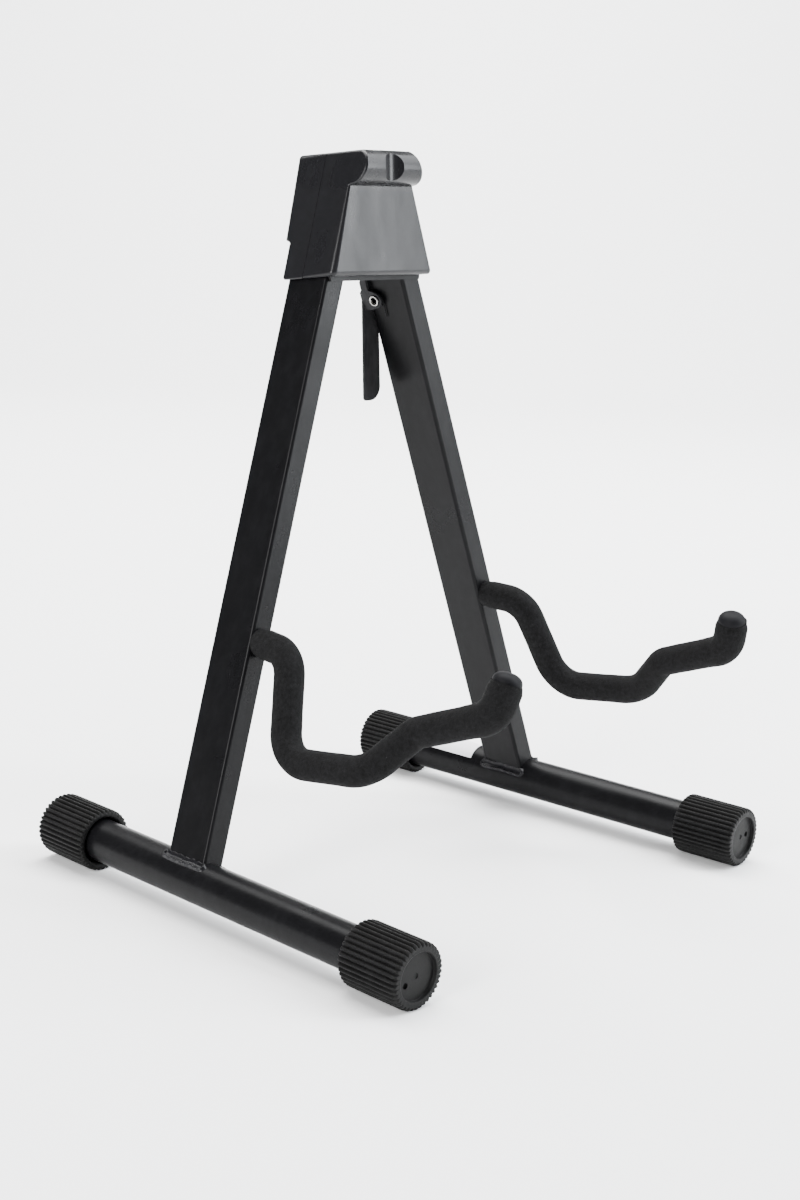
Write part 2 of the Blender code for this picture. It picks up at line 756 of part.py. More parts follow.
def build_bracket(parts, cutters):
    """Folded steel bracket: front and rear plates, a web over the leg tops and two leg stops."""
    name = "head_bracket"
    near = BRACKET_FACE - BRACKET_THICKNESS
    far = BRACKET_FACE
    top = BRACKET_WEB_HEIGHT + BRACKET_THICKNESS
    narrow = head_half_width(top) - HEAD_WALL - 2.0
    skirt_top = STOP_LOW - SKIRT_SHOULDER_DROP
    skirt_half = leg_outer_x(BRACKET_SKIRT_HEIGHT) - SKIRT_INSET
    front = [(-skirt_half, BRACKET_SKIRT_HEIGHT), (skirt_half, BRACKET_SKIRT_HEIGHT),
             (plate_half_width(skirt_top), skirt_top), (plate_half_width(STOP_HIGH), STOP_HIGH),
             (narrow, top), (-narrow, top),
             (-plate_half_width(STOP_HIGH), STOP_HIGH), (-plate_half_width(skirt_top), skirt_top)]
    bracket = prism(name, front, front_view, near, far, parts, steel_paint(name))
    rear_corner = BRACKET_REAR_HEIGHT + BRACKET_REAR_CORNER
    rear_half = plate_half_width(rear_corner)
    rear = [(-rear_half, BRACKET_REAR_HEIGHT), (rear_half, BRACKET_REAR_HEIGHT),
            (rear_half, rear_corner), (plate_half_width(STOP_HIGH), STOP_HIGH),
            (narrow, top), (-narrow, top),
            (-plate_half_width(STOP_HIGH), STOP_HIGH), (-rear_half, rear_corner)]
    back_plate = prism("bracket_rear", rear, front_view, -far, -near, cutters, None)
    join_solid(bracket, back_plate, "rear_plate")
    web = prism("bracket_web", [(-narrow + 1, BRACKET_WEB_HEIGHT), (narrow - 1, BRACKET_WEB_HEIGHT),
                                (narrow - 1.2, top - 0.01), (-narrow + 1.2, top - 0.01)],
                front_view, -far + 0.1, far - 0.1, cutters, None)
    join_solid(bracket, web, "web")
    for word, side in SIDES.items():
        low_x = leg_outer_x(STOP_LOW) + GAP
        high_x = leg_outer_x(STOP_HIGH) + GAP
        thick = BRACKET_THICKNESS - 0.1
        flange = [(side * low_x, STOP_LOW), (side * (low_x + thick), STOP_LOW),
                  (side * (high_x + thick), STOP_HIGH), (side * high_x, STOP_HIGH)]
        stop = prism("bracket_stop_" + word, flange, front_view, -near - 0.5, near + 0.5, cutters, None)
        join_solid(bracket, stop, "stop_" + word)
        pivot = in_plane(side * leg_centre_x(PIVOT_HEIGHT), 0, PIVOT_HEIGHT)
        hole = turned("bracket_hole_" + word, pivot, PLANE_NORMAL,
                      [(-30, PIVOT_HOLE_RADIUS), (30, PIVOT_HOLE_RADIUS)], 24, cutters, None)
        cut(bracket, hole, "hole_" + word)
    for height in SCREW_HEIGHTS:
        tag = "_%d" % height
        hole = turned("bracket_boss_hole" + tag, in_plane(0, 0, height), PLANE_NORMAL,
                      [(-30, BOSS_RADIUS + 0.5), (30, BOSS_RADIUS + 0.5)], 24, cutters, None)
        cut(bracket, hole, "boss_hole" + tag)
    nose_x = leg_centre_x(LEVER_NOSE_TOP) - (LEG_WIDTH / 2 + SPACER_THICKNESS + 2 * GAP
                                             + LEVER_THICKNESS / 2) / math.cos(LEG_SPREAD)
    slot_low = nose_x + KEEPER_NOTCH_SHIFT - KEEPER_NOTCH_WIDTH / 2
    slot_high = slot_low + KEEPER_NOTCH_WIDTH
    slot = prism("keeper_notch", [(slot_low, BRACKET_REAR_HEIGHT - 2), (slot_high, BRACKET_REAR_HEIGHT - 2),
                                  (slot_high, BRACKET_REAR_HEIGHT + KEEPER_NOTCH_RISE),
                                  (slot_low, BRACKET_REAR_HEIGHT + KEEPER_NOTCH_RISE)],
                 front_view, -far - 2, -near + 1, cutters, None)
    cut(bracket, slot, "keeper_notch")
    return bracket


def build_pivot_hardware(word, side, parts):
    """Bolt through the bracket and leg, its nut, and the sleeve inside the leg."""
    pivot = in_plane(side * leg_centre_x(PIVOT_HEIGHT), 0, PIVOT_HEIGHT)
    name = word + "_pivot_bolt"
    head_low = BRACKET_FACE + GAP
    bolt_end = -(BRACKET_FACE + GAP + NUT_THICKNESS + FINE_GAP)
    hex_radius = BOLT_HEAD_FLATS / 2 / math.cos(math.pi / 6)
    bolt = turned(name, pivot, PLANE_NORMAL,
                  [(bolt_end, PIVOT_BOLT_RADIUS - 0.4), (bolt_end + 0.4, PIVOT_BOLT_RADIUS),
                   (head_low, PIVOT_BOLT_RADIUS), (head_low, BOLT_HEAD_FLATS / 2),
                   (head_low + BOLT_HEAD_THICKNESS - 0.8, BOLT_HEAD_FLATS / 2),
                   (head_low + BOLT_HEAD_THICKNESS, BOLT_HEAD_FLATS / 2 - 1.2)],
                  24, parts, zinc(name))
    name = word + "_pivot_nut"
    nut_low = -(BRACKET_FACE + GAP + NUT_THICKNESS)
    rings = []
    for along, radius, count in ((nut_low, PIVOT_HOLE_RADIUS, 0), (nut_low, hex_radius, 6),
                                 (nut_low + NUT_THICKNESS, hex_radius, 6),
                                 (nut_low + NUT_THICKNESS, PIVOT_HOLE_RADIUS, 0)):
        centre = pivot + PLANE_NORMAL * along
        if count:
            corners = circle_points(centre, PLANE_NORMAL, radius, count)
            ring = []
            for index, corner in enumerate(corners):
                after = corners[(index + 1) % count]
                ring += [corner.lerp(after, step / 4) for step in range(4)]
        else:
            ring = circle_points(centre, PLANE_NORMAL, radius, 24)
        rings.append(ring)
    nut = finish_mesh(name, loft(rings, closed=True), parts, zinc(name), pivot + PLANE_NORMAL * nut_low)
    name = word + "_pivot_sleeve"
    half = LEG_DEPTH / 2 - LEG_WALL - GAP
    sleeve = turned(name, pivot, PLANE_NORMAL,
                    [(-half, PIVOT_HOLE_RADIUS), (-half, SLEEVE_RADIUS), (half, SLEEVE_RADIUS),
                     (half, PIVOT_HOLE_RADIUS)], 24, parts, zinc(name), closed=True)
    return bolt, nut, sleeve


# Release lever

def rivet_point(away):
    """Point on the rivet's axis, a distance inward from the right leg's inner face."""
    return on_leg(RIGHT, -LEG_WIDTH / 2 - away, RIVET_DEPTH, RIVET_HEIGHT)


def beside_leg(u, w, depth):
    """Point by forward depth, distance up the leg from the rivet, and distance off its inner face."""
    across, forward, up = leg_axes(RIGHT)
    return rivet_point(0) + forward * (u - RIVET_DEPTH) + up * w - across * depth


def build_lever(parts, cutters):
    """Side plate with the rivet's ear and the nose, and a tail folded behind the leg."""
    name = "release_lever"
    near = SPACER_THICKNESS + 2 * GAP
    far = near + LEVER_THICKNESS
    climb = (LEVER_NOSE_TOP - RIVET_HEIGHT) / math.cos(LEG_SPREAD)
    nose_back = -(LEG_DEPTH / 2)
    nose_front = nose_back + NOSE_WIDTH
    ear = [(TAIL_BACK, -EAR_DROP), (TAIL_BACK + EAR_DROP, -EAR_DROP)]
    ear += arc(RIVET_DEPTH, 0, EAR_RADIUS, -80, 60, 8)
    ear += [(nose_front - 0.1, EAR_NECK), (nose_front, climb), (nose_back, climb),
            (nose_back, FOLD_HIGH + 2.5), (TAIL_FRONT, FOLD_HIGH), (TAIL_FRONT, FOLD_LOW),
            (TAIL_BACK, FOLD_LOW - LEVER_THICKNESS)]
    lever = prism(name, ear, beside_leg, near, far, parts, steel_paint(name))
    across = leg_centre_x(RIVET_HEIGHT) - LEG_WIDTH / 2 / math.cos(LEG_SPREAD)

    def beside_rivet(points):
        return [(across + u, RIVET_HEIGHT + w) for u, w in points]

    tail = beside_rivet(TAIL_END)
    tail += beside_rivet(arc(*TAIL_CORNER, TAIL_CORNER_RADIUS, -90, 0, 5))
    tail += beside_rivet(TAIL_ROOT)
    plate = prism("lever_tail", tail, front_view, TAIL_BACK + 0.05, TAIL_FRONT - 0.05, cutters, None)
    join_solid(lever, plate, "tail")
    hole = turned("lever_hole", rivet_point(0), -leg_axes(RIGHT)[0],
                  [(0, RIVET_RADIUS + GAP), (8, RIVET_RADIUS + GAP)], 24, cutters, None)
    cut(lever, hole, "rivet_hole")
    return lever


def build_lever_hardware(parts):
    inward = -leg_axes(RIGHT)[0]
    spacer = turned("lever_spacer", rivet_point(0), inward,
                    [(GAP, RIVET_RADIUS + GAP), (GAP, SPACER_RADIUS),
                     (GAP + SPACER_THICKNESS, SPACER_RADIUS),
                     (GAP + SPACER_THICKNESS, RIVET_RADIUS + GAP)],
                    24, parts, plastic("lever_spacer"), closed=True)
    outer_face = SPACER_THICKNESS + LEVER_THICKNESS + 3 * GAP
    inner_face = -LEG_WALL - GAP
    rivet = turned("lever_rivet", rivet_point(0), inward,
                   [(inner_face - RIVET_FLANGE_THICKNESS, RIVET_BORE),
                    (inner_face - RIVET_FLANGE_THICKNESS, RIVET_FLANGE),
                    (inner_face, RIVET_FLANGE), (inner_face, RIVET_RADIUS),
                    (outer_face, RIVET_RADIUS), (outer_face, RIVET_FLANGE),
                    (outer_face + RIVET_FLANGE_THICKNESS, RIVET_FLANGE - 0.3),
                    (outer_face + RIVET_FLANGE_THICKNESS, RIVET_BORE)],
                   24, parts, zinc("lever_rivet"), closed=True)
    middle = GAP + SPACER_THICKNESS / 2
    corners = [(RIVET_DEPTH + SPRING_RADIUS, -SPRING_TAIL)]
    corners += arc(RIVET_DEPTH, 0, SPRING_RADIUS, 0, 200, 10)
    corners += [SPRING_HOOK]
    path = [beside_leg(u, w, middle) for u, w in corners]
    spring = sweep("lever_spring", path, (SPRING_WIRE, 0), parts, zinc("lever_spring"))
    return spacer, rivet, spring


# Whole stand

def centre_on_origin(parts, roots):
    """Move the stand so that its bounding box stands centred on the origin."""
    bpy.context.view_layer.update()
    depsgraph = bpy.context.evaluated_depsgraph_get()
    low = Vector((1e9, 1e9, 1e9))
    high = -low
    for piece in parts.objects:
        if piece.type != "MESH":
            continue
        mesh = piece.evaluated_get(depsgraph).to_mesh()
        for vertex in mesh.vertices:
            point = piece.matrix_world @ vertex.co
            low = Vector(map(min, low, point))
            high = Vector(map(max, high, point))
    shift = Vector((-(low.x + high.x) / 2, -(low.y + high.y) / 2, -low.z))
    for root in roots:
        root.location += shift
    bpy.context.view_layer.update()


def empty(name, place, collection):
    marker = bpy.data.objects.new(name, None)
    marker.empty_display_size = 0.02
    marker.location = place * MM
    collection.objects.link(marker)
    return marker


def main():
    clear_scene()
    parts = new_collection(OBJECT_NAME)
    cutters = new_collection("cutters")
    head = empty("head_frame", in_plane(0, 0, PIVOT_HEIGHT), parts)
    build_front_cover(parts, cutters)
    build_rear_cover(parts, cutters)
    build_bracket(parts, cutters)
    for index, height in enumerate(SCREW_HEIGHTS, start=1):
        build_cover_screw("cover_screw_%d" % index, height, parts)
    head_names = ["head_front_cover", "head_rear_cover", "head_bracket", "cover_screw_1", "cover_screw_2"]
    for name in head_names:
        attach(bpy.data.objects[name], head)

    for word, side in SIDES.items():
        pivot = in_plane(side * leg_centre_x(PIVOT_HEIGHT), 0, PIVOT_HEIGHT)
        hinge = empty(word + "_leg_hinge", pivot, parts)
        attach(hinge, head)
        bolt, nut, sleeve = build_pivot_hardware(word, side, parts)
        attach(bolt, head)
        attach(nut, head)
        moving = [sleeve, build_leg(word + "_leg", side, parts, cutters)]
        moving.append(build_foot_tube(word + "_foot_tube", side, parts))
        moving.append(build_foot_cap(word + "_front_foot_cap", side, 1, parts))
        moving.append(build_foot_cap(word + "_rear_foot_cap", side, -1, parts))
        moving.append(build_weld(word + "_outer_weld", side, 1, parts))
        moving.append(build_weld(word + "_inner_weld", side, -1, parts))
        moving.extend(build_yoke(word, side, parts))
        for piece in moving:
            attach(piece, hinge)

    leg_hinge = bpy.data.objects["right_leg_hinge"]
    lever_hinge = empty("release_lever_hinge", rivet_point(0), parts)
    attach(lever_hinge, leg_hinge)
    attach(build_lever(parts, cutters), lever_hinge)
    for piece in build_lever_hardware(parts):
        attach(piece, leg_hinge)

    centre_on_origin(parts, [head] + list(cutters.objects))
    for cutter in cutters.objects:
        cutter.hide_render = True
        cutter.display_type = "WIRE"


main()
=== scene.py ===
"""Looks of the folding guitar stand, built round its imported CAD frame."""
import json
import math

import bmesh
import bpy
from mathutils import Matrix, Vector


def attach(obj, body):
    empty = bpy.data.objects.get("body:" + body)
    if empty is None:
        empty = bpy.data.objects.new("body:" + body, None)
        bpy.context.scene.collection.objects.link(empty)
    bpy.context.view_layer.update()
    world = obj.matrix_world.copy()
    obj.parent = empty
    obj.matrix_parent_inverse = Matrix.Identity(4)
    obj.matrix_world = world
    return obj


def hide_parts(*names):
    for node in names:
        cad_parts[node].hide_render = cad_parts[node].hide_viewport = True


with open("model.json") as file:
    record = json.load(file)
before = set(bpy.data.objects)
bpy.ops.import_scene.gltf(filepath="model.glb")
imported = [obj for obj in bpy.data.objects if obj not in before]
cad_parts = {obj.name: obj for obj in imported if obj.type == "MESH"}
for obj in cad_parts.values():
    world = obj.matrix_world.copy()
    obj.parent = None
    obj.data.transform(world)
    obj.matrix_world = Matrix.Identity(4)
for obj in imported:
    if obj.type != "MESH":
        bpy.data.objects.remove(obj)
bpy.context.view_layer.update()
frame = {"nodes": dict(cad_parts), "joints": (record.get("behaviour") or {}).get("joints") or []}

MM = 0.001
SIDES = {"left": -1, "right": 1}
JOINTS = {joint["name"]: joint for joint in frame["joints"]}

# Directions of the leaning plane that both legs lie in
AXIS_X = Vector((1, 0, 0))
FORWARD = Vector(JOINTS["left_leg_fold"]["axis"]).normalized()
UPWARD = FORWARD.cross(AXIS_X).normalized()
SPREAD = math.radians(19.0)
TOE_OUT = math.radians(2.5)

# Sizes shared by several pieces
PIVOT_HEIGHT = 383.0 * MM
TUBE_RADIUS = 12.5 * MM
CAP_RADIUS = 18.4 * MM
LEG_WIDTH = 15.0 * MM
LEG_DEPTH = 30.0 * MM
TUBE_WALL = 1.5 * MM
FOOT_HALF_SPAN = 146.2 * MM
RIVET_HEIGHT = 319.8 * MM
RIVET_DEPTH = -8.0 * MM
RIVET_HOLE_RADIUS = 2.9 * MM
PIVOT = Vector(JOINTS["right_leg_fold"]["pos_m"])
PLANE_ORIGIN = Vector((0, PIVOT.y, PIVOT.z)) - UPWARD * PIVOT_HEIGHT


def in_plane(x, depth, height):
    """Point by its metres across, forward of and up the leaning plane."""
    return PLANE_ORIGIN + AXIS_X * x + FORWARD * depth + UPWARD * height


def leg_centre_x(height):
    return FOOT_HALF_SPAN - height * math.tan(SPREAD)


def leg_axes(side):
    """Outward across the leg, forward, and up along it."""
    up = (-side * math.sin(SPREAD)) * AXIS_X + math.cos(SPREAD) * UPWARD
    across = (side * math.cos(SPREAD)) * AXIS_X + math.sin(SPREAD) * UPWARD
    return across, FORWARD, up


def on_leg(side, across, depth, height):
    """Point by its distance outward and forward of a leg's middle line."""
    centre = in_plane(side * leg_centre_x(height), 0, height)
    return centre + leg_axes(side)[0] * across + FORWARD * depth


def rivet_place():
    """Middle of the lever's rivet, on the right leg's inner face."""
    return on_leg(1, -LEG_WIDTH / 2, RIVET_DEPTH, RIVET_HEIGHT)


def tube_direction(side):
    return Vector((side * math.sin(TOE_OUT), -math.cos(TOE_OUT), 0))


def tube_centre(side):
    return Vector((side * FOOT_HALF_SPAN, PLANE_ORIGIN.y, CAP_RADIUS))


# Materials

class Nodes:
    """Small helper that adds nodes to one material."""

    def __init__(self, name):
        self.material = bpy.data.materials.new(name)
        self.material.use_nodes = True
        self.tree = self.material.node_tree
        self.shader = self.tree.nodes["Principled BSDF"]
        self.place = self.add("ShaderNodeTexCoord").outputs["Object"]

    def add(self, kind, **values):
        node = self.tree.nodes.new(kind)
        for key, value in values.items():
            if key in node.inputs:
                node.inputs[key].default_value = value
            else:
                setattr(node, key, value)
        return node

    def link(self, output, socket):
        self.tree.links.new(output, socket)

    def set(self, **values):
        for key, value in values.items():
            self.shader.inputs[key.replace("_", " ")].default_value = value

    def noise(self, scale, detail=3.0, roughness=0.5, stretch=None):
        place = self.place
        if stretch:
            mapping = self.add("ShaderNodeMapping")
            mapping.inputs["Scale"].default_value = stretch
            self.link(place, mapping.inputs["Vector"])
            place = mapping.outputs["Vector"]
        node = self.add("ShaderNodeTexNoise", Scale=scale, Detail=detail, Roughness=roughness)
        self.link(place, node.inputs["Vector"])
        return node.outputs["Fac"]

    def ramp(self, source, low, high, low_value, high_value):
        node = self.add("ShaderNodeMapRange")
        node.inputs["From Min"].default_value = low
        node.inputs["From Max"].default_value = high
        node.inputs["To Min"].default_value = low_value
        node.inputs["To Max"].default_value = high_value
        self.link(source, node.inputs["Value"])
        return node.outputs["Result"]

    def mixed_colour(self, factor, first, second):
        node = self.add("ShaderNodeMix", data_type="RGBA")
        node.inputs[6].default_value = (*first, 1)
        node.inputs[7].default_value = (*second, 1)
        self.link(factor, node.inputs[0])
        self.link(node.outputs[2], self.shader.inputs["Base Color"])

    def bump(self, height, strength, distance, previous=None):
        node = self.add("ShaderNodeBump", Strength=strength, Distance=distance)
        self.link(height, node.inputs["Height"])
        if previous:
            self.link(previous, node.inputs["Normal"])
        return node.outputs["Normal"]

    def finish(self, normal):
        self.link(normal, self.shader.inputs["Normal"])
        return self.material


def powder_coat(name, colour=(0.0030, 0.0030, 0.0034), roughness=0.30, gloss=0.075):
    """Black satin powder coat: fine orange peel, with cloudy and rubbed patches."""
    nodes = Nodes(name)
    peel = nodes.noise(1100.0, 2.0)
    cloud = nodes.noise(22.0, 4.0, 0.6)
    rubbed = nodes.noise(140.0, 5.0, 0.7, stretch=(1.0, 1.0, 0.4))
    lighter = tuple(value * 1.7 for value in colour)
    nodes.mixed_colour(nodes.ramp(rubbed, 0.45, 0.75, 0.0, 1.0), colour, lighter)
    nodes.link(nodes.ramp(cloud, 0.3, 0.7, roughness - 0.04, roughness + 0.07),
               nodes.shader.inputs["Roughness"])
    nodes.set(Specular_IOR_Level=gloss)
    return nodes.finish(nodes.bump(peel, 0.16, 0.0002))


def moulded_plastic(name, colour=(0.0042, 0.0042, 0.0050), roughness=0.27, gloss=0.2, worn_from=None):
    """Black moulded plastic with mottled flow marks, smoother above a worn height."""
    nodes = Nodes(name)
    grain = nodes.noise(1500.0, 2.0)
    flow = nodes.noise(58.0, 5.0, 0.65, stretch=(1.0, 1.0, 0.3))
    smudge = nodes.noise(260.0, 5.0, 0.7)
    lighter = tuple(value * 1.35 for value in colour)
    nodes.mixed_colour(nodes.ramp(smudge, 0.4, 0.75, 0.0, 1.0), colour, lighter)
    rough = nodes.ramp(flow, 0.3, 0.7, roughness - 0.03, roughness + 0.12)
    if worn_from:
        height = nodes.add("ShaderNodeSeparateXYZ")
        nodes.link(nodes.place, height.inputs[0])
        worn = nodes.ramp(height.outputs["Z"], worn_from, worn_from + 3 * MM, 0.0, 0.05)
        less = nodes.add("ShaderNodeMath", operation="SUBTRACT")
        nodes.link(rough, less.inputs[0])
        nodes.link(worn, less.inputs[1])
        rough = less.outputs[0]
    nodes.link(rough, nodes.shader.inputs["Roughness"])
    nodes.set(Specular_IOR_Level=gloss)
    return nodes.finish(nodes.bump(grain, 0.10, 0.0001))


def rubber(name, colour=(0.0032, 0.0032, 0.0032), roughness=0.52, gloss=0.10):
    """Matte black rubber with dusty patches."""
    nodes = Nodes(name)
    grain = nodes.noise(1600.0, 3.0)
    dust = nodes.noise(170.0, 5.0, 0.7)
    lighter = tuple(value * 2.2 for value in colour)
    nodes.mixed_colour(nodes.ramp(dust, 0.45, 0.75, 0.0, 1.0), colour, lighter)
    nodes.link(nodes.ramp(dust, 0.3, 0.7, roughness - 0.06, roughness + 0.1),
               nodes.shader.inputs["Roughness"])
    nodes.set(Specular_IOR_Level=gloss)
    return nodes.finish(nodes.bump(grain, 0.3, 0.0002))


def foam(name):
    """Closed-cell foam: matte, with a fine open grain and soft blotches."""
    nodes = Nodes(name)
    cells = nodes.add("ShaderNodeTexVoronoi", Scale=1400.0)
    nodes.link(nodes.place, cells.inputs["Vector"])
    blotch = nodes.noise(420.0, 6.0, 0.75)
    nodes.mixed_colour(nodes.ramp(blotch, 0.35, 0.7, 0.0, 1.0), (0.002, 0.002, 0.002),
                       (0.0085, 0.0085, 0.009))
    nodes.link(nodes.ramp(blotch, 0.3, 0.7, 0.85, 1.0), nodes.shader.inputs["Roughness"])
    nodes.set(Specular_IOR_Level=0.08)
    fine = nodes.bump(cells.outputs["Distance"], 0.45, 0.0004)
    return nodes.finish(nodes.bump(blotch, 0.5, 0.0006, fine))


def bright_metal(name, colour=(0.40, 0.39, 0.37), roughness=0.3):
    """Bare metal with fine scratches along one direction."""
    nodes = Nodes(name)
    scratches = nodes.noise(600.0, 3.0, 0.6, stretch=(1.0, 0.2, 1.0))
    nodes.set(Metallic=1.0)
    nodes.mixed_colour(nodes.ramp(scratches, 0.3, 0.7, 0.0, 1.0), colour,
                       tuple(value * 0.8 for value in colour))
    nodes.link(nodes.ramp(scratches, 0.3, 0.7, roughness - 0.05, roughness + 0.12),
               nodes.shader.inputs["Roughness"])
    return nodes.finish(nodes.bump(scratches, 0.1, 0.0001))


def paper(name):
    """White coated paper with a faint fibre."""
    nodes = Nodes(name)
    fibre = nodes.noise(700.0, 4.0, 0.7)
    nodes.mixed_colour(nodes.ramp(fibre, 0.3, 0.7, 0.0, 1.0), (0.80, 0.80, 0.82), (0.72, 0.72, 0.74))
    nodes.link(nodes.ramp(fibre, 0.3, 0.7, 0.4, 0.55), nodes.shader.inputs["Roughness"])
    return nodes.finish(nodes.bump(fibre, 0.1, 0.0001))


MATERIALS = {
    "frame": powder_coat("black_powder_coat"),
    "lever": powder_coat("lever_coat", colour=(0.016, 0.016, 0.017), roughness=0.45),
    "weld": powder_coat("weld_coat", colour=(0.005, 0.005, 0.006), roughness=0.27, gloss=0.16),
    "plastic": moulded_plastic("head_plastic", worn_from=397.5 * MM),
    "tip": moulded_plastic("tip_plastic", roughness=0.55, gloss=0.06),
    "rubber": rubber("cap_rubber"),
    "foam": foam("yoke_foam"),
    "steel": bright_metal("zinc_steel"),
    "rivet": bright_metal("rivet_metal", colour=(0.42, 0.41, 0.39), roughness=0.3),
    "paper": paper("blank_sticker"),
}


# Mesh helpers

def make_object(name, mesh_data, material, smooth_angle=35.0):
    """Object from a bmesh in row-frame metres, smooth except across sharp edges."""
    bmesh.ops.recalc_face_normals(mesh_data, faces=mesh_data.faces)
    mesh = bpy.data.meshes.new(name)
    mesh_data.to_mesh(mesh)
    mesh_data.free()
    piece = bpy.data.objects.new(name, mesh)
    bpy.context.scene.collection.objects.link(piece)
    if material:
        mesh.materials.append(MATERIALS[material])
    smooth(piece, smooth_angle)
    return piece


def smooth(piece, angle=35.0):
    """Smooth shading that stops at sharp edges and keeps the large faces flat."""
    mesh = piece.data
    mesh.shade_smooth()
    mesh.set_sharp_from_angle(angle=math.radians(angle))
    weighted = piece.modifiers.new("flat_faces", "WEIGHTED_NORMAL")
    weighted.keep_sharp = True
    weighted.weight = 100
    apply_modifiers(piece)


def loft(rings, closed=False):
    """Solid through rings of points: capped at both ends, or joined end to end."""
    mesh_data = bmesh.new()
    loops = [[mesh_data.verts.new(point) for point in ring] for ring in rings]
    pairs = list(zip(loops, loops[1:]))
    if closed:
        pairs.append((loops[-1], loops[0]))
    for first, second in pairs:
        count = len(first)
        for index in range(count):
            after = (index + 1) % count
            mesh_data.faces.new((first[index], first[after], second[after], second[index]))
    if not closed:
        mesh_data.faces.new(loops[0])
        mesh_data.faces.new(loops[-1])
    return mesh_data


def prism(name, outline, place, low, high, material=None):
    """Outline drawn straight between two depths; place puts a (u, w, depth) in the frame."""
    rings = [[place(u, w, depth) for u, w in outline] for depth in (low, high)]
    return make_object(name, loft(rings), material)


def across_axes(axis):
    """Two directions square to an axis: a level one, and one square to that."""
    level = axis.cross(Vector((0, 0, 1)))
    if level.length < 0.01:
        level = Vector((1, 0, 0))
    level.normalize()
    return level, level.cross(axis).normalized()


def ring_points(centre, axis, radius, count):
    """Ring round an axis; radius is a number or a function of the angle."""
    first, second = across_axes(axis)
    points = []
    for index in range(count):
        angle = 2 * math.pi * index / count
        reach = radius(angle) if callable(radius) else radius
        points.append(centre + reach * (math.cos(angle) * first + math.sin(angle) * second))
    return points


def turned(name, base, axis, profile, material, count=96, closed=False):
    """Solid of revolution: profile lists (distance along the axis, radius) in metres."""
    rings = [ring_points(base + axis * along, axis, radius, count) for along, radius in profile]
    return make_object(name, loft(rings, closed), material)


def arc(centre_u, centre_w, radius, start, end, steps):
    """Points round part of a circle, from one angle to another in degrees."""
    points = []
    for index in range(steps + 1):
        angle = math.radians(start + (end - start) * index / steps)
        points.append((centre_u + radius * math.cos(angle), centre_w + radius * math.sin(angle)))
    return points


def boolean(piece, other, operation):
    """Apply one Boolean and drop the other object."""
    change = piece.modifiers.new("shape", "BOOLEAN")
    change.operation = operation
    change.solver = "EXACT"
    change.object = other
    apply_modifiers(piece)
    bpy.data.objects.remove(other, do_unlink=True)


def apply_modifiers(piece):
    """Replace the piece's mesh by what its modifiers make of it."""
    bpy.context.view_layer.update()
    depsgraph = bpy.context.evaluated_depsgraph_get()
    mesh = bpy.data.meshes.new_from_object(piece.evaluated_get(depsgraph))
    old = piece.data
    piece.modifiers.clear()
    piece.data = mesh
    bpy.data.meshes.remove(old)


def bevel(piece, width, segments, angle):
    """Round every edge that bends by more than the angle in degrees."""
    change = piece.modifiers.new("edges", "BEVEL")
    change.width = width
    change.segments = segments
    change.limit_method = "ANGLE"
    change.angle_limit = math.radians(angle)
    change.harden_normals = False
    apply_modifiers(piece)


def stands_for(piece, body, slot, *nodes):
    """A piece rides on a body, in place of these CAD nodes."""
    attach(piece, body)
    if nodes:
        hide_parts(*nodes)


# Foot tubes and caps

REACH_FRONT = 175.4 * MM
REACH_BACK = 119.0 * MM
# How far a cap's outer face stands past the end of its tube
CAP_PAST_TUBE = 5.3 * MM
CAP_RIBS = 38
CAP_RIB_DEPTH = 1.5 * MM
CAP_FACE_RADIUS = 15.9 * MM
CAP_RECESS_RADIUS = 13.2 * MM
CAP_RECESS_DEPTH = 2.1 * MM
CAP_HOLE_RADIUS = 1.75 * MM
CAP_HOLE_DEPTH = 1.5 * MM
CAP_PIP_RADIUS = 1.6 * MM
CAP_PIP_DEPTH = 0.6 * MM
CAP_BORE_GAP = 0.3 * MM
# Place of the small hole in each cap's end, across and up from its middle
CAP_HOLES = {
    "left_front": (7.7 * MM, -3.4 * MM),
    "right_front": (-6.9 * MM, 0.3 * MM),
    "left_rear": (5.5 * MM, 5.0 * MM),
    "right_rear": (-3.0 * MM, 7.0 * MM),
}


def rib_radius(crest, depth):
    """Radius by angle of rounded ribs with narrow grooves, one crest straight down."""
    def radius(angle):
        phase = math.cos((angle + math.pi / 2) * CAP_RIBS)
        return crest - depth * (0.5 - 0.5 * phase) ** 1.6
    return radius


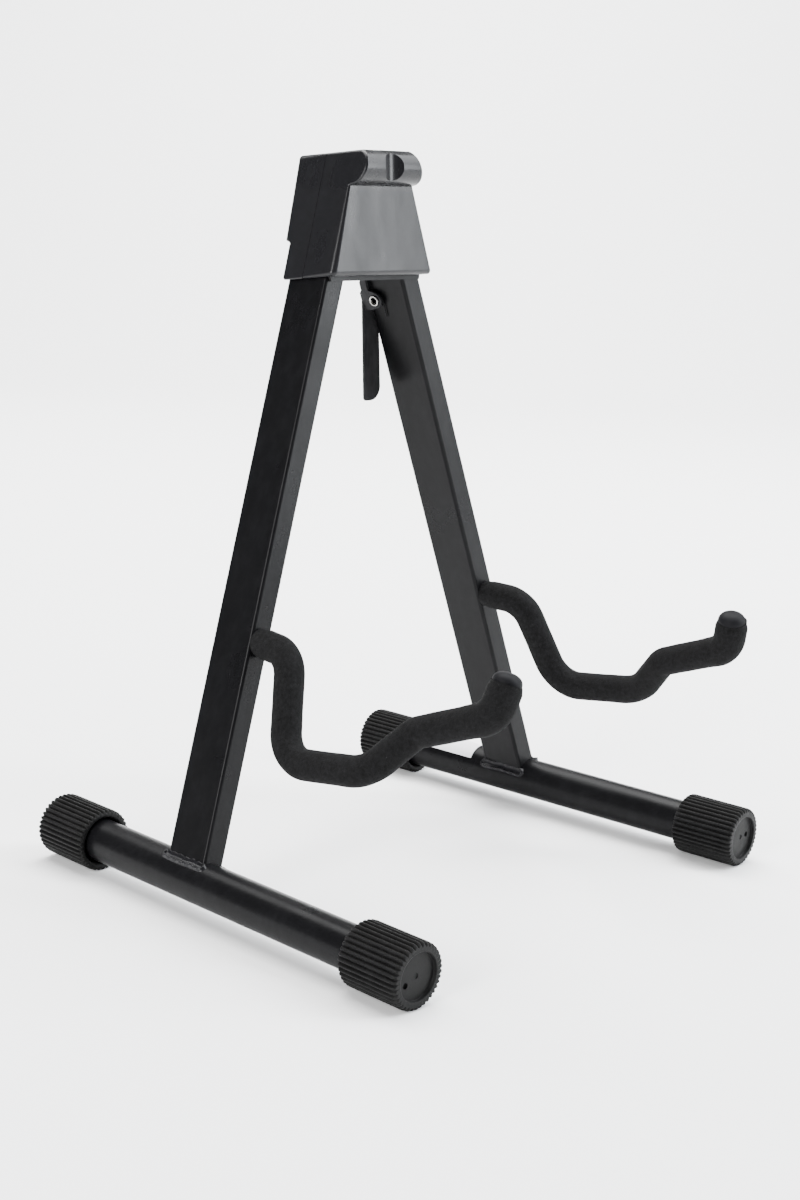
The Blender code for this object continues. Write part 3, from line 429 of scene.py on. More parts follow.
def build_cap(word, side, end):
    """Ribbed rubber cap at the front (end 1) or rear (end -1) of a foot tube."""
    axis = tube_direction(side) * end
    reach = REACH_FRONT if end > 0 else REACH_BACK
    face = tube_centre(side) + axis * reach
    count = CAP_RIBS * 12
    bore = TUBE_RADIUS + CAP_BORE_GAP
    crest = CAP_RADIUS
    flat = CAP_FACE_RADIUS
    recess = CAP_RECESS_RADIUS
    floor_back = CAP_RECESS_DEPTH / MM
    # Millimetres back from the outer face, crest radius, share of the rib depth
    profile = [
        (3.6, bore, 0), (33.5, bore, 0), (39.4, 13.9 * MM, 0), (40.4, 14.4 * MM, 0),
        (40.7, 15.0 * MM, 0), (40.7, crest - 1.7 * MM, 0), (40.6, crest - 1.2 * MM, 0.35),
        (40.2, crest - 0.5 * MM, 0.8), (39.6, crest - 0.1 * MM, 1), (38.6, crest, 1), (30.0, crest, 1),
        (20.0, crest, 1), (10.0, crest, 1), (2.4, crest, 1), (1.5, crest - 0.15 * MM, 1),
        (0.8, crest - 0.5 * MM, 1), (0.3, crest - 0.95 * MM, 1), (0.05, crest - 1.35 * MM, 0.85),
        (0.0, crest - 1.6 * MM, 0.6), (0.0, flat, 0.0), (0.0, recess + 0.5 * MM, 0),
        (0.1, recess + 0.1 * MM, 0), (0.5, recess, 0), (floor_back - 0.3, recess - 0.15 * MM, 0),
        (floor_back, recess - 0.5 * MM, 0),
    ]
    rings = []
    for back, radius, share in profile:
        shape = rib_radius(radius, CAP_RIB_DEPTH * share) if share else radius
        rings.append(ring_points(face - axis * back * MM, axis, shape, count))
    place = word + ("_front" if end > 0 else "_rear")
    cap = make_object(place + "_cap_skin", loft(rings), "rubber", 50.0)
    level, second = across_axes(axis)
    floor = face - axis * CAP_RECESS_DEPTH
    across, rise = CAP_HOLES[place]
    hole = floor + level * across * end + second * rise
    for spot, radius, depth in ((hole, CAP_HOLE_RADIUS, CAP_HOLE_DEPTH),
                                (floor, CAP_PIP_RADIUS, CAP_PIP_DEPTH)):
        drill = turned("drill", spot - axis * depth, axis,
                       [(0, radius * 0.7), (0.3 * MM, radius), (8 * MM, radius)], None, 32)
        boolean(cap, drill, "DIFFERENCE")
    smooth(cap, 50.0)
    return cap, place + "_foot_cap"


def build_feet():
    for word, side in SIDES.items():
        body = word + "_leg"
        axis = tube_direction(side)
        inner = TUBE_RADIUS - TUBE_WALL
        back = -REACH_BACK + CAP_PAST_TUBE
        front = REACH_FRONT - CAP_PAST_TUBE
        tube = turned(word + "_foot_tube_skin", tube_centre(side), axis,
                      [(back, inner), (back, TUBE_RADIUS), (front, TUBE_RADIUS), (front, inner)],
                      "frame", closed=True)
        stands_for(tube, body, "frame_paint", word + "_foot_tube")
        for end in (1, -1):
            cap, node = build_cap(word, side, end)
            stands_for(cap, body, "cap_rubber", node)


# Legs and welds

LEG_CORNER_ROUND = 1.9 * MM
BORE_OVERRUN = 20 * MM
SADDLE_HALF_LENGTH = 60 * MM
SADDLE_GAP = 0.1 * MM


def rounded_rectangle(half_u, half_w, radius, steps=6):
    points = []
    for sign_u, sign_w, start in ((1, 1, 0), (-1, 1, 90), (-1, -1, 180), (1, -1, 270)):
        centre_u = sign_u * (half_u - radius)
        centre_w = sign_w * (half_w - radius)
        points.extend(arc(centre_u, centre_w, radius, start, start + 90, steps))
    return points


def build_legs():
    for word, side in SIDES.items():
        across, forward, up = leg_axes(side)
        base = on_leg(side, 0, 0, 0)
        length = PIVOT_HEIGHT / math.cos(SPREAD)

        def placed(u, w, depth):
            return base + across * u + forward * w + up * depth

        outline = rounded_rectangle(LEG_WIDTH / 2, LEG_DEPTH / 2, LEG_CORNER_ROUND)
        bore = rounded_rectangle(LEG_WIDTH / 2 - TUBE_WALL, LEG_DEPTH / 2 - TUBE_WALL,
                                 LEG_CORNER_ROUND / 2)
        leg = prism(word + "_leg_skin", outline, placed, 0, length, "frame")
        room = prism("bore", bore, placed, -BORE_OVERRUN, length + BORE_OVERRUN)
        boolean(leg, room, "DIFFERENCE")
        reach = TUBE_RADIUS + SADDLE_GAP
        saddle = turned("saddle", tube_centre(side), tube_direction(side),
                        [(-SADDLE_HALF_LENGTH, reach), (SADDLE_HALF_LENGTH, reach)], None)
        boolean(leg, saddle, "DIFFERENCE")
        if side > 0:
            hole = turned("rivet_hole", rivet_place(), across,
                          [(-5 * MM, RIVET_HOLE_RADIUS), (5 * MM, RIVET_HOLE_RADIUS)], None, 32)
            boolean(leg, hole, "DIFFERENCE")
        smooth(leg, 25.0)
        stands_for(leg, word + "_leg", "frame_paint", word + "_leg")


WELD_LENGTH = 35.5 * MM
WELD_HALF_WIDTH = 3.4 * MM
WELD_RISE = 1.7 * MM
WELD_LUMPS = 7
# How far the bead's middle lies out from the leg's face, and its underside inside the tube
WELD_OUT = 0.9 * MM
WELD_SINK = 0.4 * MM
WELD_EDGE_SINK = 0.1 * MM
WELD_STEPS = 110
WELD_STRIPS = 26


def weld_ridge(across, beyond, along, seed):
    """Height of the bead: a lumpy ridge that runs round a hollow like a long loop."""
    ring = min(1.0, math.hypot(across, beyond))
    wander = 0.06 * math.sin(along * 19 + seed * 2) * (1 if across > 0 else -1)
    ridge = math.exp(-((ring - 0.58 - wander) / 0.26) ** 2)
    lumps = 1 + 0.25 * math.sin(along * 2 * math.pi * WELD_LUMPS + across * 2 + seed) ** 3
    return WELD_RISE * (0.22 * (1 - ring ** 6) + 0.78 * ridge * lumps * (1 - ring ** 10))


def weld_rings(side, flank):
    """Rings along a bead on one flank of a leg: its ridged top, then its sunk underside."""
    across_leg, _, up = leg_axes(side)
    axis = tube_direction(side)
    upright = (up - axis * up.dot(axis)).normalized()
    outward = upright.cross(axis).normalized()
    if outward.dot(across_leg) < 0:
        outward = -outward
    seed = side * 2 + flank
    ends = WELD_HALF_WIDTH / (WELD_LENGTH / 2)
    corner = math.asin((LEG_WIDTH / 2 + WELD_OUT) / TUBE_RADIUS)
    lean = up.dot(axis) / up.dot(upright) * TUBE_RADIUS * math.cos(corner)

    def round_tube(start, turn, radius):
        return start + (outward * flank * math.sin(turn) + upright * math.cos(turn)) * radius

    rings = []
    for index in range(WELD_STEPS + 1):
        along = index / WELD_STEPS
        beyond = max(0.0, (abs(2 * along - 1) - 1 + ends) / ends)
        taper = math.sqrt(max(0.0, 1 - beyond ** 2)) * 0.98 + 0.02
        drift = 0.25 * MM * math.sin(along * 7 + seed)
        start = tube_centre(side) + axis * ((along - 0.5) * WELD_LENGTH + lean)
        ring = []
        for part in range(WELD_STRIPS + 1):
            across = -1 + 2 * part / WELD_STRIPS
            turn = corner + (across * WELD_HALF_WIDTH * taper + drift) / TUBE_RADIUS
            rise = weld_ridge(across * taper, beyond, along, seed)
            ring.append(round_tube(start, turn, TUBE_RADIUS - WELD_EDGE_SINK + rise))
        for across in (0.8, 0.0, -0.8):
            turn = corner + across * WELD_HALF_WIDTH * taper / TUBE_RADIUS
            ring.append(round_tube(start, turn, TUBE_RADIUS - WELD_SINK))
        rings.append(ring)
    return rings


def build_welds():
    """Rippled beads in the corners of each leg and its foot tube."""
    for word, side in SIDES.items():
        for flank_word, flank in (("outer", 1), ("inner", -1)):
            name = "%s_%s_weld" % (word, flank_word)
            weld = make_object(name + "_bead", loft(weld_rings(side, flank)), "weld", 70.0)
            stands_for(weld, word + "_leg", "frame_paint", name)


# Yoke arms

FOAM_RADIUS = 8.65 * MM
FOAM_SIDES = 48
FOAM_END_ROUND = 1.2 * MM
# The flare starts this far before the far end, and is full after this run
FOAM_END_FLARE = 0.09
FLARE_REACH = 42 * MM
FLARE_RUN = 30 * MM
# Gap between the sleeve and the leg's face, and the first ring kept past that face
FOAM_FACE_GAP = 0.15 * MM
FOAM_FIRST_RING = 4.5 * MM
YOKE_HEIGHT = 129.6 * MM
# Corners of the bent arm on the right, counted from where it leaves the leg, in millimetres
YOKE_CORNERS = (
    (3.4, -27.3, -0.7),
    (23.3, -44.9, -54.6),
    (24.4, -105.7, -45.4),
    (12.8, -128.1, -20.3),
    (7.8, -175.3, -1.8),
    (4.4, -178.8, 15.6),
)
YOKE_BENDS = (18.0, 20.0, 30.0, 13.0, 16.0)
# The foam's mouth is open a little toward this direction, across and forward
MOUTH_GAP = (0.75, -0.66)
TIP_RADIUS = 8.0 * MM
TIP_DOME = 4.9 * MM
# The tip cap stands out of the mouth, off its middle and a little tilted
TIP_STAND_OUT = 0.9 * MM
TIP_SHIFT = 0.5 * MM
TIP_TILT = 0.06


def rounded_path(corners, radii, steps=14, run_step=3.0 * MM):
    """Points along straight runs joined by round bends."""
    points = [corners[0]]
    for before, corner, after, radius in zip(corners, corners[1:], corners[2:], radii):
        back = (before - corner).normalized()
        ahead = (after - corner).normalized()
        half_angle = back.angle(ahead) / 2
        reach = radius / math.tan(half_angle)
        middle = (back + ahead).normalized()
        centre = corner + middle * (radius / math.sin(half_angle))
        first = corner + back * reach - centre
        last = corner + ahead * reach - centre
        turn = first.angle(last)
        axis = first.cross(last).normalized()
        add_run(points, centre + first, run_step)
        for index in range(steps + 1):
            points.append(centre + Matrix.Rotation(turn * index / steps, 3, axis) @ first)
    add_run(points, corners[-1], run_step)
    points.append(corners[-1])
    return points


def add_run(points, end, step):
    """Points along a straight run, without its end."""
    start = points[-1]
    count = max(1, int((end - start).length / step))
    for index in range(1, count):
        points.append(start.lerp(end, index / count))


def yoke_corners(side):
    face = in_plane(leg_centre_x(YOKE_HEIGHT), LEG_DEPTH / 2, YOKE_HEIGHT)
    corners = [face + Vector(corner) * MM for corner in YOKE_CORNERS]
    flip = Vector((side, 1, 1))
    return [corner * flip for corner in [face] + corners]


def path_frames(path):
    """Directions along a path, and two untwisted directions across it, at each point."""
    tangents = []
    for index, _ in enumerate(path):
        before = path[max(index - 1, 0)]
        after = path[min(index + 1, len(path) - 1)]
        tangents.append((after - before).normalized())
    side_axis = tangents[0].cross(Vector((0, 0, 1))).normalized()
    frames = []
    for tangent in tangents:
        side_axis = (side_axis - tangent * side_axis.dot(tangent)).normalized()
        frames.append((side_axis.copy(), tangent.cross(side_axis)))
    return tangents, frames


def foam_swell(distance, angle):
    """Slow unevenness of the foam's skin, in metres."""
    long_wave = math.sin(distance * 130 + 1.3) * math.sin(2 * angle + distance * 60)
    short_wave = math.sin(distance * 410 + 2 * angle) * math.sin(3 * angle - distance * 150)
    return 0.10 * MM * long_wave + 0.05 * MM * short_wave


def foam_rings(path, tangents, frames):
    """Rings of the foam sleeve from the leg's face to its far end, which flares a little."""
    lengths = [0.0]
    for before, after in zip(path, path[1:]):
        lengths.append(lengths[-1] + (after - before).length)
    total = lengths[-1]
    rings = []
    for point, (first, second), distance in zip(path, frames, lengths):
        end_round = min(1.0, 0.90 + 0.1 * min(distance, total - distance) / FOAM_END_ROUND)
        flare = min(1.0, max(0.0, (distance - total + FLARE_REACH) / FLARE_RUN))
        end_round *= 1 + FOAM_END_FLARE * flare * flare * (3 - 2 * flare)
        ring = []
        for index in range(FOAM_SIDES):
            angle = 2 * math.pi * index / FOAM_SIDES
            radius = (FOAM_RADIUS + foam_swell(distance, angle)) * end_round
            ring.append(point + radius * (math.cos(angle) * first + math.sin(angle) * second))
        rings.append(ring)
    # The first ring is slid onto the leg's face, and those that it would cross are left out
    face = in_plane(0, LEG_DEPTH / 2 + FOAM_FACE_GAP, YOKE_HEIGHT)
    heading = tangents[0]
    on_face = [point + heading * ((face - point).dot(FORWARD) / heading.dot(FORWARD))
               for point in rings[0]]
    return [on_face] + [ring for ring, distance in zip(rings[1:], lengths[1:])
                        if distance > FOAM_FIRST_RING]


def mouth_rings(last, centre, axis, toward_gap):
    """Rings that turn in to a mouth round the tip cap, open a little at the outer front."""
    rings = []
    for share, more_share, rise, more_rise in ((0.95, 0.03, 0.5, 1.3), (0.86, 0.09, 0.4, 1.1),
                                               (0.82, 0.11, -3.0, 0.0)):
        ring = []
        for point in last:
            spoke = point - centre
            facing = max(0.0, spoke.normalized().dot(toward_gap)) ** 2
            ring.append(centre + spoke * (share + more_share * facing)
                        + axis * (rise + more_rise * facing) * MM)
        rings.append(ring)
    return rings


def build_yokes():
    for word, side in SIDES.items():
        body = word + "_leg"
        path = rounded_path(yoke_corners(side), [radius * MM for radius in YOKE_BENDS])
        tangents, frames = path_frames(path)
        rings = foam_rings(path, tangents, frames)
        end_axis = tangents[-1]
        toward_gap = Vector((MOUTH_GAP[0] * side, MOUTH_GAP[1], 0))
        toward_gap = (toward_gap - end_axis * toward_gap.dot(end_axis)).normalized()
        rings += mouth_rings(rings[-1], path[-1], end_axis, toward_gap)
        sleeve = make_object(word + "_foam_cover", loft(rings), "foam", 70.0)
        stands_for(sleeve, body, "yoke_foam", word + "_foam_sleeve")
        build_tip(word, body, path[-1], end_axis, toward_gap)


def build_tip(word, body, base, axis, toward_gap):
    """Low plastic dome that sits a little off the middle in the mouth of the foam."""
    tilt = (axis - toward_gap * TIP_TILT).normalized()
    base = base + axis * TIP_STAND_OUT - toward_gap * TIP_SHIFT
    profile = [(-3.6 * MM, TIP_RADIUS * 0.9), (-0.6 * MM, TIP_RADIUS * 0.98), (0.0, TIP_RADIUS)]
    for step in range(1, 17):
        angle = math.radians(step * 5.4)
        profile.append((TIP_DOME * math.sin(angle), TIP_RADIUS * math.cos(angle) ** 0.75))
    tip = turned(word + "_tip_dome", base, tilt, profile, "tip", 64)
    smooth(tip, 60.0)
    stands_for(tip, body, "tip_plastic", word + "_tip_cap")


# Head

HEAD_LOW = 331.4 * MM
HEAD_BACK_LOW = 329.8 * MM
HEAD_TOP = 401.4 * MM
HEAD_HALF_LOW = 44.3 * MM
HEAD_SIDE_SLOPE = 0.325
HEAD_WALL = 1.8 * MM
# Rounds of the side edges, and of the outline's corners, from front to back
HEAD_EDGE_ROUND = 1.6 * MM
PANEL_FOOT_ROUND = 3.8 * MM
BACK_CORNER_ROUND = 3.2 * MM
LOW_BACK_ROUND = 1.2 * MM
LOWER_EDGE_ROUND = 3.2 * MM
BACK_TOP_CORNER = 1.8 * MM
BACK_STEP_CORNERS = (1.2 * MM, 0.8 * MM)
BACK_LOW_CORNER = 2.0 * MM
CORNER_STEPS = 6
EDGE_STEPS = 6
SEAM_HALF_GAP = 0.12 * MM
# How far the room runs out below the lower edge, and cutting shapes past the head
ROOM_OVERRUN = 9 * MM
CUT_SPAN = 60 * MM
CUT_HEIGHTS = (300 * MM, 500 * MM)
# The shells are first made this far past their seam, so that it stays square
SEAM_OVERRUN = 6.0 * MM
PANEL_DEPTH_LOW = 23.6 * MM
PANEL_DEPTH_HIGH = 22.6 * MM
BACK_STEP = 352.0 * MM
BACK_DEPTH_LOW = 16.0 * MM
BACK_DEPTH_MID = 20.6 * MM
BACK_DEPTH_TOP = 22.9 * MM
NOSE_DEPTH = 23.2 * MM
NOSE_HEIGHT = 392.6 * MM
NOSE_RADIUS = 10.0 * MM
NOTCH_RADIUS = 10.8 * MM
NOTCH_DEPTH = 40.4 * MM
NOTCH_WALL_HEIGHT = 18.6 * MM
NOTCH_RIM_ROUND = 0.5 * MM
SCREW_HEIGHTS = (358.0 * MM, 376.5 * MM)
SCREW_SEAT_RADIUS = 3.3 * MM
SCREW_SEAT_DEPTH = 1.2 * MM
SCREW_HOLE_RADIUS = 1.8 * MM


def head_half_width(height):
    return HEAD_HALF_LOW - (height - HEAD_LOW) * HEAD_SIDE_SLOPE


def side_view(u, w, depth):
    return in_plane(depth, u, w)


def front_view(u, w, depth):
    return in_plane(u, depth, w)


def head_sides(inset=0.0):
    """Sloping sides seen from the front, as (across, height)."""
    low = HEAD_LOW - 20 * MM
    high = HEAD_TOP + 20 * MM
    lean = math.sqrt(1 + HEAD_SIDE_SLOPE ** 2)
    near = head_half_width(low) - inset * lean
    far = head_half_width(high) - inset * lean
    return [(-near, low), (near, low), (far, high), (-far, high)]


def lower_edge(depth):
    """Height of the head's lower edge, which slants a little from front to back."""
    share = (depth + BACK_DEPTH_LOW) / (PANEL_DEPTH_LOW + BACK_DEPTH_LOW)
    return HEAD_BACK_LOW + (HEAD_LOW - HEAD_BACK_LOW) * share


def front_cover_corners():
    """Front cover from the side, as (depth, height, side edge round, corner round)."""
    edge = HEAD_EDGE_ROUND
    back = -SEAM_OVERRUN
    corners = [(back, lower_edge(back), edge, 0), (back, HEAD_TOP, edge, 0), (0, HEAD_TOP, edge, 0)]
    corners += [(u, w, edge, 0) for u, w in arc(NOSE_DEPTH, NOSE_HEIGHT, NOSE_RADIUS, 72, -84, 36)]
    under = NOSE_HEIGHT - NOSE_RADIUS
    corners.append((PANEL_DEPTH_HIGH, under - 0.3 * MM, edge, 0.4 * MM))
    corners.append((PANEL_DEPTH_LOW, HEAD_LOW, PANEL_FOOT_ROUND, LOWER_EDGE_ROUND))
    return corners


def rear_cover_corners():
    """Rear cover from the side, in the same form."""
    edge = HEAD_EDGE_ROUND
    back = BACK_CORNER_ROUND
    seam = SEAM_OVERRUN
    return [(-BACK_DEPTH_LOW, lower_edge(-BACK_DEPTH_LOW), LOW_BACK_ROUND, BACK_LOW_CORNER),
            (-BACK_DEPTH_LOW, BACK_STEP - 0.9 * MM, LOW_BACK_ROUND, BACK_STEP_CORNERS[1]),
            (-BACK_DEPTH_MID, BACK_STEP, back, BACK_STEP_CORNERS[0]),
            (-BACK_DEPTH_TOP, HEAD_TOP - 0.4 * MM, back, BACK_TOP_CORNER),
            (0, HEAD_TOP, edge, 0), (seam, HEAD_TOP, edge, 0), (seam, lower_edge(seam), edge, 0)]


def rear_room_corners():
    """Room of the rear cover, which stays open at the back below the bulge."""
    seam = SEAM_OVERRUN
    return [(-BACK_DEPTH_MID, lower_edge(-BACK_DEPTH_MID)), (-BACK_DEPTH_MID, BACK_STEP),
            (-BACK_DEPTH_TOP, HEAD_TOP - 0.4 * MM), (0, HEAD_TOP), (seam, HEAD_TOP),
            (seam, lower_edge(seam))]


def drawn_in(corners, share):
    """Clockwise outline moved inward by a share of each corner's edge round, corners rounded."""
    moved = []
    bends = []
    for index, (u, w, edge, _) in enumerate(corners):
        before = corners[index - 1]
        after = corners[(index + 1) % len(corners)]
        arriving = Vector((u - before[0], w - before[1])).normalized()
        leaving = Vector((after[0] - u, after[1] - w)).normalized()
        first = Vector((arriving.y, -arriving.x))
        second = Vector((leaving.y, -leaving.x))
        shift = (first + second) / (1 + first.dot(second)) * edge * share
        moved.append(Vector((u, w)) + shift)
        bends.append(-arriving.cross(leaving))
    outline = []
    for index, (_, _, edge, corner_round) in enumerate(corners):
        if not corner_round:
            outline.append((*moved[index], edge))
            continue
        turn_in = edge * share if bends[index] > 0 else -edge * share
        radius = max(corner_round - turn_in, 0.04 * MM)
        here = moved[index]
        to_before = (moved[index - 1] - here).normalized()
        to_after = (moved[(index + 1) % len(moved)] - here).normalized()
        half = to_before.angle(to_after) / 2
        middle = here + (to_before + to_after).normalized() * radius / math.sin(half)
        start = here + to_before * radius / math.tan(half) - middle
        end = here + to_after * radius / math.tan(half) - middle
        for step in range(CORNER_STEPS + 1):
            part = step / CORNER_STEPS
            spoke = (start * (1 - part) + end * part).normalized() * radius
            outline.append((*(middle + spoke), edge))
    return outline


def rounded_body(name, corners):
    """Side outline drawn across between the sloping sides, with rounded side edges."""
    rings = []
    for side in (-1, 1):
        steps = range(EDGE_STEPS + 1)
        for step in steps if side < 0 else reversed(steps):
            turn = math.pi / 2 * step / EDGE_STEPS
            outline = drawn_in(corners, 1 - math.sin(turn))
            rings.append([in_plane(side * (head_half_width(w) - edge * (1 - math.cos(turn))), u, w)
                          for u, w, edge in outline])
    return make_object(name, loft(rings), "plastic", 30.0)


def cover_shell(name, corners, room_corners, keep_low, keep_high):
    """Rounded shell, open where its room runs out, kept between two depths."""
    span = CUT_SPAN
    shell = rounded_body(name, corners)
    inside = [(*corner[:2], HEAD_WALL, 0) for corner in room_corners]
    outline = [(u, w - ROOM_OVERRUN if w < HEAD_LOW + 8 * MM else w)
               for u, w, _ in drawn_in(inside, 1.0)]
    room = prism("room", outline, side_view, -span, span)
    boolean(room, prism("room_sides", head_sides(HEAD_WALL), front_view, -span, span), "INTERSECT")
    boolean(shell, room, "DIFFERENCE")
    low, high = CUT_HEIGHTS
    field = [(-span, low), (span, low), (span, high), (-span, high)]
    boolean(shell, prism("kept", field, front_view, keep_low, keep_high), "INTERSECT")
    return shell


def round_groove_rim(cover):
    """Soften the edge where the finger groove runs out of the nose."""
    middle = in_plane(0, NOTCH_DEPTH, 0)
    mesh_data = bmesh.new()
    mesh_data.from_mesh(cover.data)

    def on_groove(point):
        away = point - middle
        return abs(math.hypot(away.x, away.dot(FORWARD)) - NOTCH_RADIUS) < 0.06 * MM

    rim = []
    for edge in mesh_data.edges:
        start, end = (vertex.co for vertex in edge.verts)
        upright = abs((end - start).normalized().dot(UPWARD)) > 0.999
        sharp = edge.calc_face_angle(0) > math.radians(15)
        if on_groove(start) and on_groove(end) and sharp and not upright:
            rim.append(edge)
    bmesh.ops.bevel(mesh_data, geom=rim, offset=NOTCH_RIM_ROUND, segments=3, profile=0.5,
                    affect="EDGES", clamp_overlap=True)
    mesh_data.to_mesh(cover.data)
    mesh_data.free()


def build_front_cover():
    corners = front_cover_corners()
    cover = cover_shell("head_front_shell", corners, corners, SEAM_HALF_GAP, CUT_SPAN)
    # Finger groove in the nose, with its own wall behind it, just inside the cover's outline
    inset = 0.4 * MM
    outer = NOTCH_RADIUS + HEAD_WALL
    lining = turned("lining", in_plane(0, NOTCH_DEPTH, HEAD_TOP - inset), -UPWARD,
                    [(0, outer), (NOTCH_WALL_HEIGHT, outer)], None, 64)
    within = [(u, w) for u, w, _ in drawn_in([(u, w, inset, 0) for u, w, _, _ in corners], 1.0)]
    boolean(lining, prism("inside", within, side_view, -30 * MM, 30 * MM), "INTERSECT")
    boolean(cover, lining, "UNION")
    groove = turned("groove", in_plane(0, NOTCH_DEPTH, HEAD_TOP + 12 * MM), -UPWARD,
                    [(0, NOTCH_RADIUS), (33 * MM, NOTCH_RADIUS)], None, 96)
    boolean(cover, groove, "DIFFERENCE")
    round_groove_rim(cover)
    smooth(cover, 30.0)
    stands_for(cover, "head", "head_plastic", "head_front_cover")


def build_rear_cover():
    cover = cover_shell("head_rear_shell", rear_cover_corners(), rear_room_corners(),
                        -CUT_SPAN, -SEAM_HALF_GAP)
    for height in SCREW_HEIGHTS:
        rise = (height - BACK_STEP) / (HEAD_TOP - BACK_STEP)
        outer = BACK_DEPTH_MID + (BACK_DEPTH_TOP - BACK_DEPTH_MID) * rise
        start = 5 * MM
        seat = turned("seat", in_plane(0, -outer - start, height), FORWARD,
                      [(0, SCREW_SEAT_RADIUS), (start + SCREW_SEAT_DEPTH, SCREW_SEAT_RADIUS)], None, 48)
        boolean(cover, seat, "DIFFERENCE")
        hole = turned("hole", in_plane(0, -40 * MM, height), FORWARD,
                      [(0, SCREW_HOLE_RADIUS), (50 * MM, SCREW_HOLE_RADIUS)], None, 32)
        boolean(cover, hole, "DIFFERENCE")
    smooth(cover, 30.0)
    stands_for(cover, "head", "head_plastic", "head_rear_cover")


# Release lever

TAIL_FRONT = -17.0 * MM
TAIL_BACK = -18.5 * MM
LEVER_NOSE_TOP = 345.0 * MM
LEVER_GAP = 1.8 * MM
LEVER_THICKNESS = 1.5 * MM
RIVET_RIM = 3.6 * MM


def beside_leg(u, w, depth):
    """Point by forward depth, distance up the leg from the rivet, and off its inner face."""
    across, forward, up = leg_axes(1)
    return rivet_place() + forward * (u - RIVET_DEPTH) + up * w - across * depth


def build_lever():
    """Plate beside the leg, with its ear and nose, and the bent tail that hangs behind."""
    climb = (LEVER_NOSE_TOP - RIVET_HEIGHT) / math.cos(SPREAD)
    nose_back = -LEG_DEPTH / 2
    ear = [(TAIL_BACK, -6.0 * MM), (TAIL_BACK + 6 * MM, -6.0 * MM)]
    ear += arc(RIVET_DEPTH, 0, 5.0 * MM, -80, 60, 16)
    ear += [(-11.6 * MM, 6.5 * MM), (nose_back + 3.5 * MM, climb), (nose_back, climb),
            (nose_back, 14.0 * MM), (TAIL_FRONT, 11.5 * MM), (TAIL_FRONT, 6.5 * MM),
            (TAIL_BACK, 5.0 * MM)]
    lever = prism("release_lever_plate", ear, beside_leg, LEVER_GAP, LEVER_GAP + LEVER_THICKNESS,
                  "lever")
    across = leg_centre_x(RIVET_HEIGHT) - LEG_WIDTH / 2 / math.cos(SPREAD)
    tail = arc(-0.6 * MM, -61.8 * MM, 2.2 * MM, -180, -100, 6)
    tail += arc(2.6 * MM, -55.0 * MM, 9.0 * MM, -90, 0, 18)
    tail += [(11.6 * MM, -12.8 * MM), (8.6 * MM, -5.3 * MM), (-2.9 * MM, 0.2 * MM),
             (-2.3 * MM, -4.8 * MM)]
    tail = [(across + u, RIVET_HEIGHT + w) for u, w in tail]
    plate = prism("tail", tail, front_view, TAIL_BACK, TAIL_FRONT)
    boolean(lever, plate, "UNION")
    hole = turned("hole", rivet_place(), -leg_axes(1)[0],
                  [(0, RIVET_HOLE_RADIUS), (8 * MM, RIVET_HOLE_RADIUS)], None, 32)
    boolean(lever, hole, "DIFFERENCE")
    bevel(lever, 0.25 * MM, 2, 50.0)
    smooth(lever, 35.0)
    stands_for(lever, "release_lever", "lever_paint", "release_lever")


def build_rivet():
    """Tubular rivet: flange inside the leg, and a rolled rim over the lever."""
    inward = -leg_axes(1)[0]
    rim = RIVET_RIM
    profile = [(-2.6 * MM, 1.9 * MM), (-2.6 * MM, 3.4 * MM), (-1.8 * MM, 3.4 * MM),
               (-1.8 * MM, 2.6 * MM), (rim, 2.6 * MM), (rim, 3.2 * MM),
               (rim + 0.3 * MM, 3.35 * MM), (rim + 0.65 * MM, 3.2 * MM), (rim + 0.8 * MM, 2.9 * MM),
               (rim + 0.75 * MM, 2.5 * MM), (rim + 0.4 * MM, 2.25 * MM), (rim - 0.6 * MM, 2.15 * MM),
               (rim - 4.0 * MM, 2.1 * MM)]
    rivet = turned("rivet_ring", rivet_place(), inward, profile, "rivet", 48, closed=True)
    smooth(rivet, 60.0)
    stands_for(rivet, "right_leg", "rivet_steel", "lever_rivet")


# Blank sticker on the right foot tube

STICKER_BACK = -68.0 * MM
STICKER_FRONT = -27.0 * MM
STICKER_ANGLES = (30, 108)
STICKER_GAP = 0.08 * MM
STICKER_THICKNESS = 0.1 * MM
STICKER_STEPS = 24


def build_sticker():
    level, second = across_axes(tube_direction(1))
    radius = TUBE_RADIUS + STICKER_GAP
    first, last = STICKER_ANGLES
    mesh_data = bmesh.new()
    rows = []
    for along in (STICKER_BACK, STICKER_FRONT):
        middle = tube_centre(1) + tube_direction(1) * along
        curve = arc(0, 0, radius, first, last, STICKER_STEPS)
        rows.append([mesh_data.verts.new(middle + level * u + second * w) for u, w in curve])
    for index in range(STICKER_STEPS):
        mesh_data.faces.new((rows[0][index], rows[0][index + 1],
                             rows[1][index + 1], rows[1][index]))
    label = make_object("blank_label", mesh_data, "paper")
    thickness = label.modifiers.new("paper", "SOLIDIFY")
    thickness.thickness = STICKER_THICKNESS
    thickness.offset = 1.0
    apply_modifiers(label)
    smooth(label, 40.0)
    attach(label, "right_leg")


def paint_nodes():
    """Procedural materials for the CAD nodes that stay."""
    paints = {"head_bracket": "frame", "lever_spacer": "tip", "lever_spring": "frame"}
    for word in SIDES:
        for name in ("yoke_rod", "pivot_bolt", "pivot_nut", "pivot_sleeve"):
            paints["%s_%s" % (word, name)] = "steel"
    for index in (1, 2):
        paints["cover_screw_%d" % index] = "steel"
    for name, material in paints.items():
        node = frame["nodes"][name]
        node.data.materials.clear()
        node.data.materials.append(MATERIALS[material])


# Camera, floor and light

